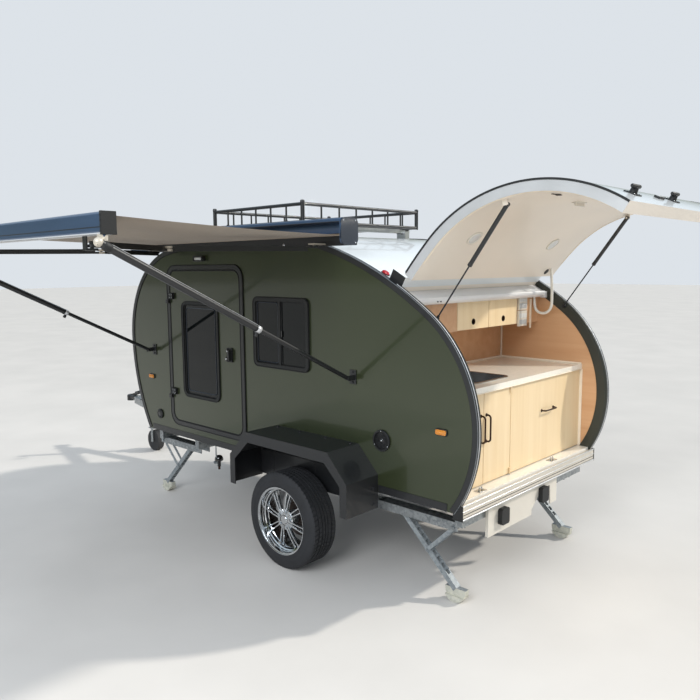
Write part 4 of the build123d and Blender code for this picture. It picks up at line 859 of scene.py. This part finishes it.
def hatch_disc(shape, angle, y, profile, base=0.011, way=-1, steps=28, wide=1.0):
    bend = arc_at(angle)[4]
    shape.strip([[at(angle + degrees(radius * cos(turn) / bend), base + way * height,
                     y + wide * radius * sin(turn)) for radius, height in profile]
                 for turn in (2 * pi * i / steps for i in range(steps + 1))])


def hatch_block(shape, angle, y, wide, across, low, high):
    turn = degrees(wide / 2 / arc_at(angle)[4])
    shape.add([at(a, out, place) for a in (angle - turn, angle + turn)
               for place in (y - across / 2, y + across / 2) for out in (low, high)], BOX)


inside = Shape()
for angle, y in ((131.4, 0.48), (129.6, -0.40)):
    inside.look = 0
    hatch_disc(inside, angle, y, [(0.046, 0.0), (0.045, 0.0045), (0.040, 0.0062), (0.036, 0.0055),
                                  (0.0345, 0.0035)], wide=1.1)
    inside.look = 1
    hatch_disc(inside, angle, y, [(0.0345, 0.0035), (0.025, 0.0060), (0.0, 0.0068)], wide=1.1)
inside.look = 2
hatch_disc(inside, 121.6, -0.62, [(0.020, 0.0), (0.0195, 0.0034), (0.0160, 0.0042), (0.0, 0.0042)])
for y in (0.56, -0.56):
    hatch_block(inside, 172.6, y, 0.012, 0.085, 0.0075, 0.0112)
    hatch_block(inside, 172.6 + 0.6, y, 0.018, 0.020, 0.0040, 0.0112)
inside.look = 0
hatch_block(inside, 165.5, 0.135, 0.030, 0.110, 0.0070, 0.0112)
hatch_block(inside, 165.5, 0.135, 0.012, 0.090, -0.0100, 0.0085)
put(inside, "hatch_inner_fittings", [panel_white, clear_lens, black_plastic], "hatch",
    move=opened, bevel=0.001)

hatch_seal = Shape()
hatch_seal.tube([at(a, 0.0102, 0.7420) for a in evenly(tail - 0.4, seam + 3.0, 60)], 0.0022, 8)
put(hatch_seal, "hatch_seals", cream_trim, "hatch", move=opened, mirror_y=True)

outside = Shape()
handle_angle = angle_at(z=0.745, arc=0)
for y in (0.50, 0.02):
    outside.look = 0
    hatch_block(outside, handle_angle, y, 0.050, 0.078, 0.0655, 0.0705)
    hatch_disc(outside, handle_angle, y, [(0.0, 0.026), (0.0125, 0.026), (0.0140, 0.022), (0.0165, 0.0)],
               base=0.070, way=1)
    outside.tube([at(handle_angle, 0.099, y + dy) for dy in (-0.046, -0.040, 0.040, 0.046)],
                 [0.006, 0.0088, 0.0088, 0.006], 14)
    outside.look = 1
    for dy in (-0.031, 0.031):
        for da in (-1, 1):
            hatch_disc(outside, handle_angle + degrees(da * 0.018 / arcs[0][4]), y + dy,
                       [(0.0, 0.0022), (0.0030, 0.0016), (0.0038, 0.0)], base=0.0705, way=1, steps=10)
outside.look = 0
hatch_block(outside, handle_angle, 0.19, 0.026, 0.066, 0.0655, 0.0760)
outside.look = 2
hatch_block(outside, handle_angle, 0.19, 0.016, 0.054, 0.0755, 0.0790)
put(outside, "hatch_outer_fittings", [black_plastic, steel, clear_lens], "hatch", move=opened,
    bevel=0.0012)

# Sill: ridges along its edge, end caps, groove
sill = Shape()
for x, y, z, radius in ((-1.1360, 0.7465, 0.5845, 0.0036), (-1.1365, 0.7465, 0.5560, 0.0026),
                        (-1.1360, 0.7495, 0.5150, 0.0046)):
    sill.rod((x, -y, z), (x, y, z), radius, 10)
sill.look = 1
sill.box(-1.1372, -1.1355, -0.7465, 0.7465, 0.5372, 0.5412)
sill.box(-1.1372, -1.1355, -0.7495, 0.7495, 0.5215, 0.5240)
for way in (1, -1):
    sill.box(-1.1388, -1.0800, way * 0.7475, way * 0.7542, 0.5085, 0.5885)
    for z in (0.523, 0.572):
        screw(sill, -1.112, way * 0.7542, z, 0.0036, way=way)
put(sill, "sill_ridges", [silver_edge, black_plastic], "trailer", bevel=0.0008)

# Awning: cloth, rail caps and grooves with the hem rope, leg edges and sleeves, cassette screws
cloth_x, cloth_y, cloth_z = -0.368, 0.8175, 1.9470
cloth_wide, cloth_reach, cloth_rise = 2.004, 1.3098, 0.0425
panel = Shape()
rows = []
for i in range(49):
    u = i / 48
    row = []
    for k in range(33):
        v = k / 32
        sag = 0.013 * sin(pi * v) * (0.55 + 0.45 * sin(pi * u)) + 0.0016 * sin(9 * pi * u) * sin(pi * v)
        row.append((cloth_x + cloth_wide * u, cloth_y + cloth_reach * v, cloth_z + cloth_rise * v - sag))
    rows.append(row)
panel.strip(rows)
awning_cloth = put(panel, "awning_cloth", cloth, "trailer", sharp=60)
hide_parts("awning_fabric")
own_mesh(awning_cloth)

rail = Shape()
rail_x0, rail_x1 = -0.375, 1.643
for x0, x1 in ((-0.3885, -0.3750), (1.6430, 1.6565)):
    rail.box(x0, x1, lead_y0 - 0.0015, lead_y1 + 0.0015, 1.9115, 2.0055)
    for k in range(4):
        rail.box(x0 + 0.0020, x1 - 0.0020, lead_y1 + 0.0010, lead_y1 + 0.0034, 1.922 + 0.021 * k,
                 1.931 + 0.021 * k)
rail.look = 1
rail.box(rail_x0, rail_x1, lead_y1 - 0.0010, lead_y1 + 0.0008, 1.9395, 1.9445)
rail.rod((rail_x0, lead_y0 + 0.002, 1.9905), (rail_x1, lead_y0 + 0.002, 1.9905), 0.0042, 10)
rail.look = 2
rail.rod((rail_x0, lead_y1 - 0.002, 1.9165), (rail_x1, lead_y1 - 0.002, 1.9165), 0.0036, 10)
rail.box(-0.374, 1.642, lead_y0 + 0.006, lead_y1 - 0.006, 1.9118, 1.9131)
put(rail, "lead_rail_trim", [black_plastic, dark_slate, silver_edge], "lead_rail",
    bevel=0.0018)

leg_run = Vector((0, 0.800 - head_y, 1.165 - head_z))
leg_run.normalize()
leg_up = Vector((0, leg_run.z, -leg_run.y))
for end, x in head_xs:
    head = Vector((x, head_y, head_z))
    leg = Shape()
    top = head + leg_up * 0.0165
    leg.tube([top + leg_run * 0.035, top + leg_run * 0.897], 0.0062, 10, flat=0.42, up=leg_up)
    leg.tube([head + leg_run * d for d in (0.876, 0.878, 0.899, 0.901)],
             [0.0172, 0.0186, 0.0186, 0.0172], 28)
    leg.look = 1
    leg.tube([head + leg_run * d for d in (0.868, 0.876)], 0.0180, 28)
    leg.tube([head + leg_run * d for d in (0.022, 0.026, 0.052, 0.056)],
             [0.0172, 0.0192, 0.0192, 0.0172], 28)
    knob = head + leg_run * 0.888 - leg_up * 0.0175
    leg.tube([knob, knob - leg_up * 0.004, knob - leg_up * 0.020], [0.004, 0.0095, 0.0105], 14)
    put(leg, "leg_edge_" + end, [silver_edge, black_plastic], "leg_outer_" + end)

cassette = Shape()
inner_x0, inner_x1 = -0.439, 1.719
for x, way in ((-0.4482, -1), (1.7282, 1)):
    for y, z in ((0.775, 1.905), (0.775, 2.022), (0.868, 2.022)):
        cassette.lathe([(0, 0.0026), (0.0035, 0.0022), (0.0048, 0)], (x, y, z), 12, "x", way=way)
for x in (-0.394, 0.150, 0.640, 1.130, 1.674):
    hex_bolt(cassette, x, 0.7645, 1.9070, 0.0065)
cassette.look = 1
cassette.rod((-0.432, 0.8842, 2.0145), (1.714, 0.8842, 2.0145), 0.0030, 8)
cassette.look = 3
section = [(0.8175 + 0.0045 * sin(pi * k / 10), 1.9560 + 0.0660 * k / 10) for k in range(11)]
section += [(0.8160, 2.022), (0.8160, 1.956), (0.8175, 1.956)]
cassette.strip([[(x, y, z) for y, z in section] for x in (inner_x0, inner_x1)])
cassette.rod((inner_x0, 0.8185, 1.9575), (inner_x1, 0.8185, 1.9575), 0.0030, 8)
cassette.look = 2
for end, x in head_xs:
    for z in (1.137, 1.193):
        hex_bolt(cassette, x, 0.756, z, 0.0062)
put(cassette, "cassette_fittings", [steel, dark_slate, black_satin, slate], "trailer",
    bevel=0.0006)

# Roof rack: clamps under the frame, corner caps, mounting bolts
rack = Shape()
for x in (0.340, 0.950):
    for y in (-0.570, 0.570):
        bow = [(x, y + 0.0145 * cos(radians(t)), 2.056 + 0.0145 * sin(radians(t))) for t in range(0, 181, 15)]
        rack.tube([(x, y + 0.0145, 2.018)] + bow + [(x, y - 0.0145, 2.018)], 0.0032, 8)
        rack.box(x - 0.016, x + 0.016, y - 0.026, y + 0.026, 2.0170, 2.0215)
    for y in (-0.600, 0.600):
        for dx in (-0.030, 0.030):
            hex_bolt(rack, x + dx, y, 2.036, 0.0065, axis="z")
for x in (0.190, 1.100):
    for y in (-0.570, 0.570):
        rack.lathe([(0.0134, -0.010), (0.0142, -0.008), (0.0142, 0.004), (0.011, 0.0095), (0.0, 0.0115)],
                   (x, y, 2.180), 20, "z")
put(rack, "rack_clamps", black_satin, "trailer")

# Fenders: bolts and back plates. The black back plates are partly the wheel-well panel behind each fender and
# partly painted shade that darkens the gap between fender and tyre
hardware = Shape()
for x in (-0.40, -0.20, 0.02, 0.22):
    hex_bolt(hardware, x, 0.7785, 0.790, 0.0075, axis="z")
for z in (0.500, 0.590):
    hex_bolt(hardware, 0.420, 0.790, z, 0.0075, axis="x")
    hex_bolt(hardware, -0.580, 0.790, z - 0.02, 0.0075, axis="x", way=-1)
put(hardware, "fender_bolts", black_satin, "trailer", mirror_y=True)

# Black back plates: partly the wheel-well panel, partly painted shade in the gap above the tyre.
back = Shape()
back.box(-0.5750, 0.4150, 0.7556, 0.7580, 0.458, 0.620)
back.rod((-0.5750, 0.7575, 0.4575), (0.4150, 0.7575, 0.4575), 0.0028, 10)
for x in (-0.455, -0.080, 0.300):
    back.box(x - 0.012, x + 0.012, 0.7578, 0.7600, 0.462, 0.616)
put(back, "fender_backs", black_satin, "trailer", mirror_y=True, bevel=0.001)

# Chassis and steadies: bolts, hex ends of the screws, pins
frame_bolts = Shape()
screw_z = 0.4425
for end, end_x, way in steady_ends:
    for cheek in (1, -1):
        hex_bolt(frame_bolts, end_x, steady_y + cheek * 0.038, steady_z, 0.0105, way=cheek)
    x0 = end_x - way * 0.024
    for far, near, radius, sides in ((0.026, 0.008, 0.0070, 6), (0.008, 0.003, 0.0075, 20)):
        frame_bolts.rod((x0 - way * far, steady_y, screw_z), (x0 - way * near, steady_y, screw_z), radius,
                        sides)
for x in (-1.060, -0.470, 0.190, 1.270, 1.755):
    for z in (0.470, 0.510):
        hex_bolt(frame_bolts, x, 0.475, z, 0.0095)
put(frame_bolts, "frame_bolts", zinc, "trailer", mirror_y=True)

for end, foot_x, way in steady_ends:
    for side, half in SIDES:
        pins = Shape()
        for cheek in (1, -1):
            hex_bolt(pins, foot_x + way * steady_arm * cos(radians(44)), half * steady_y + cheek * 0.028,
                     steady_z - steady_arm * sin(radians(44)), 0.0052, way=cheek, washer=False)
        put(pins, f"steady_pins_{end}_{side}", zinc, f"steady_brace_{end}_{side}")

# Drawbar: bolts of the coupling, jockey clamp's handle, grip, and the gas regulator under the floor
drawbar = Shape()
for x in (3.170, 3.215):
    for dy in (-0.038, 0.038):
        hex_bolt(drawbar, x, dy, 0.503, 0.0095, axis="z")
for dy in (-0.090, 0.090):
    for dx in (-0.030, 0.030):
        hex_bolt(drawbar, 3.010 + dx, dy, 0.511, 0.0080, axis="z")
drawbar.rod((3.010, 0.030, 0.525), (3.010, 0.082, 0.525), 0.0070, 16)
drawbar.rod((2.968, 0.082, 0.525), (3.052, 0.082, 0.525), 0.0055, 14)
drawbar.look = 1
grip_start, grip_end = Vector((3.400, 0, 0.500)), Vector((3.250, 0, 0.542))
run = (grip_end - grip_start).normalized()
drawbar.tube([grip_start + run * d for d in (0.072, 0.078, 0.150, 0.162)], [0.0150, 0.0178, 0.0178, 0.0120],
             24, flat=0.66, up=(0, 1, 0))
put(drawbar, "drawbar_fittings", [zinc, black_plastic], "trailer", bevel=0.0006)

regulator = Shape()
gas_x, gas_y = 1.030, 0.650
regulator.lathe([(0, 0.036), (0.012, 0.034), (0.023, 0.027), (0.029, 0.016), (0.031, 0.004),
                 (0.031, -0.002), (0.026, -0.006)], (gas_x, gas_y, 0.400), 32, "z")
regulator.rod((gas_x, gas_y, 0.398), (gas_x, gas_y, 0.352), 0.013, 20)
regulator.look = 1
regulator.box(1.018, 1.042, 0.625, 0.675, 0.392, 0.396)
regulator.box(1.024, 1.036, 0.672, 0.676, 0.392, 0.540)
regulator.rod((gas_x, gas_y, 0.372), (1.076, gas_y, 0.372), 0.0075, 16)
regulator.lathe([(0, 0.012), (0.0105, 0.012), (0.0115, 0.008), (0.0115, 0)], (1.074, gas_y, 0.372), 6, "x")
regulator.look = 2
regulator.rod((gas_x, gas_y, 0.360), (gas_x, gas_y, 0.330), 0.0085, 16)
put(regulator, "regulator", [gloss_black, zinc, bronze], "trailer", bevel=0.0006)

# Struts: end collars and sockets
for side, way in SIDES:
    start = Vector(opened((-1.156, 0.690 * way, 1.215)))
    reach = Vector((stud_x, 0.690 * way, stud_z)) - start
    run, length = reach.normalized(), reach.length
    collar = Shape()
    collar.tube([start + run * d for d in (0.330, 0.332, 0.344, 0.3465)], [0.0111, 0.0119, 0.0119, 0.0085],
                24)
    put(collar, "strut_collar_" + side, black_satin, "strut_cylinder_" + side)
    socket = Shape()
    socket.tube([start + run * d for d in (length - 0.0205, length - 0.0185, length - 0.009)],
                [0.0045, 0.0066, 0.0066], 18)
    put(socket, "strut_socket_" + side, black_plastic, "strut_rod_" + side)

# Mattress with rolled edges and piping
bed = Shape()
rings = [(0.30, 0.5758), (0.060, 0.5756), (0.022, 0.5775), (0.006, 0.5870), (0.0, 0.6100), (0.0, 0.6690),
         (0.006, 0.6920), (0.022, 0.7030), (0.060, 0.7068), (0.16, 0.7085), (0.30, 0.7092)]


def bed_loop(inset, z):
    half = 0.706 - inset
    return [(x, y, z) for x, y in rounded(-0.424 + inset, 1.560 - inset, -half, half,
                                          max(0.070 - inset, 0.012), 5)]


loops = [bed_loop(inset, z) for inset, z in rings]
bed.strip([loop + [loop[0]] for loop in loops])
for loop in (loops[0], loops[-1]):
    bed.add(loop, [range(len(loop))])
bed.look = 1
for z in (0.5930, 0.6865):
    bed.tube(bed_loop(-0.0005, z), 0.0038, 8, closed_loop=True)
mattress = put(bed, "mattress_pad", [ticking, cream_trim], "trailer", sharp=60)
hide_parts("mattress")

# Conduit hose from the hatch to the header, one ribbed tube along the route of the solid
hose_y = -0.640
hose_start = opened(at(seam + 2, 0.0038, hose_y))
header_reach = arcs[2][4] - 0.050
header_run = (-0.742 - arcs[2][2]) / header_reach
hose_end = (-0.742, hose_y, arcs[2][3] + header_reach * sqrt(1 - header_run ** 2) - 0.006)
hose_route = [hose_start, (-0.868, hose_y, 1.665), (-0.870, hose_y, 1.585), (-0.870, hose_y, 1.500),
              (-0.833, hose_y, 1.463), (-0.780, hose_y, 1.463), (-0.743, hose_y, 1.500), hose_end]
route = bpy.data.curves.new("hose_route", "CURVE")
route.dimensions = "3D"
route.resolution_u = 24
spline = route.splines.new("NURBS")
spline.points.add(len(hose_route) - 1)
for point, place in zip(spline.points, hose_route):
    point.co = tuple(Vector(place) + SHIFT) + (1,)
spline.order_u = 3
spline.use_endpoint_u = True
carrier = add_object("hose_route", route)
bpy.context.view_layer.update()
followed = bpy.data.meshes.new_from_object(carrier.evaluated_get(bpy.context.evaluated_depsgraph_get()))
line = [v.co.copy() - SHIFT for v in followed.vertices]
bpy.data.objects.remove(carrier)
bpy.data.meshes.remove(followed)
gone = [0.0]
for before, here in zip(line, line[1:]):
    gone.append(gone[-1] + (here - before).length)
hose_length = gone[-1]


def along_hose(distance):
    i = next((i for i in range(1, len(gone)) if gone[i] >= distance), len(gone) - 1)
    share = (distance - gone[i - 1]) / max(gone[i] - gone[i - 1], 1e-9)
    return line[i - 1].lerp(line[i], min(1, share))


hose = Shape()
half_ribs = 2 * int(hose_length / 0.0032)
hose.tube([along_hose(hose_length * i / half_ribs) for i in range(half_ribs + 1)],
          [0.0090 if i % 2 else 0.0083 for i in range(half_ribs + 1)], 16)
hose_piece = put(hose, "hatch_hose", cream_hose, None, sharp=80)
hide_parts("hatch_cable")
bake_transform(hose_piece)

# Camera, light, floor
eye = (-3.024, 3.549, 1.775)
yaw, pitch, roll = -0.813, 0.119, 0.008
cam_data = bpy.data.cameras.new("camera")
cam_data.lens, cam_data.sensor_width = 35.74, 36
cam = add_object("camera", cam_data)
look = Vector((cos(yaw) * cos(pitch), sin(yaw) * cos(pitch), -sin(pitch)))
right = Vector((sin(yaw), -cos(yaw), 0))
up = right.cross(look)
image_right = right * cos(roll) - up * sin(roll)
image_up = right * sin(roll) + up * cos(roll)
cam.matrix_world = Matrix([(image_right[i], image_up[i], -look[i], eye[i] + SHIFT[i]) for i in range(3)]
                          + [(0, 0, 0, 1)])
bpy.context.scene.camera = cam

floor_half, floor_z = 60, -0.4502
floor_mesh = bpy.data.meshes.new("ground")
floor_mesh.from_pydata([(x * floor_half, y * floor_half, floor_z) for x, y in (
    (-1, -1), (1, -1), (1, 1), (-1, 1))], [], [(0, 1, 2, 3)])
ground = add_object("ground", floor_mesh)
floor_mesh.materials.append(material("pale_floor", (206, 203, 198), 0.85, spread=0.04, scale=1.5, bump=0.1,
                                     bump_scale=90))

# Metal mirrors a sky with a dark horizon, and the camera sees a plain pale one
world = bpy.data.worlds.new("sky")
bpy.context.scene.world = world
world.use_nodes = True
sky = world.node_tree
rays = node(sky, "LightPath").outputs
split = node(sky, "SeparateXYZ", Vector=node(sky, "TexCoord").outputs["Generated"])
height = node(sky, "MapRange", Value=split.outputs["Z"], From_Min=-1)
mirrored_sky = node(sky, "ValToRGB", Fac=height.outputs["Result"])
stops = mirrored_sky.color_ramp.elements
stops[0].position, stops[0].color = 0.49, srgb(120, 116, 108)
stops[1].position, stops[1].color = 0.78, srgb(212, 228, 240)
for place, colour in ((0.505, srgb(84, 92, 66)), (0.57, srgb(96, 106, 80)), (0.62, srgb(196, 210, 220))):
    stops.new(place).color = colour


def ray_mix(kind, others, seen):
    """The colour seen by one kind of ray, and the colour for all others."""
    made = node(sky, "Mix")
    made.data_type = "RGBA"
    wire(sky, made, Factor=rays[kind], A=others, B=seen)
    return made.outputs["Result"]


glossy = ray_mix("Is Glossy Ray", srgb(222, 230, 240), mirrored_sky.outputs["Color"])
wire(sky, sky.nodes["Background"], Color=ray_mix("Is Camera Ray", glossy, srgb(226, 232, 238)), Strength=0.95)


def lamp(name, kind, place, aim, power, size, colour):
    data = bpy.data.lights.new(name, kind)
    data.energy, data.color = power, colour
    if kind == "SUN":
        data.angle = size
    else:
        data.shape, data.size = "DISK", size
    obj = add_object(name, data)
    obj.location = Vector(place) + SHIFT
    obj.rotation_mode = "QUATERNION"
    obj.rotation_quaternion = (Vector(aim) - Vector(place)).to_track_quat("-Z", "Y")


lamp("sun", "SUN", (-4.5, -6.5, 6.0), (0.2, 0, 0.6), 2.6, radians(2.5), (1.0, 0.95, 0.87))
lamp("fill", "AREA", (-2.5, 7.5, 5.0), (0.2, 0, 1.0), 420, 4.5, (0.93, 0.96, 1.0))

bpy.context.scene.view_settings.view_transform = "Standard"
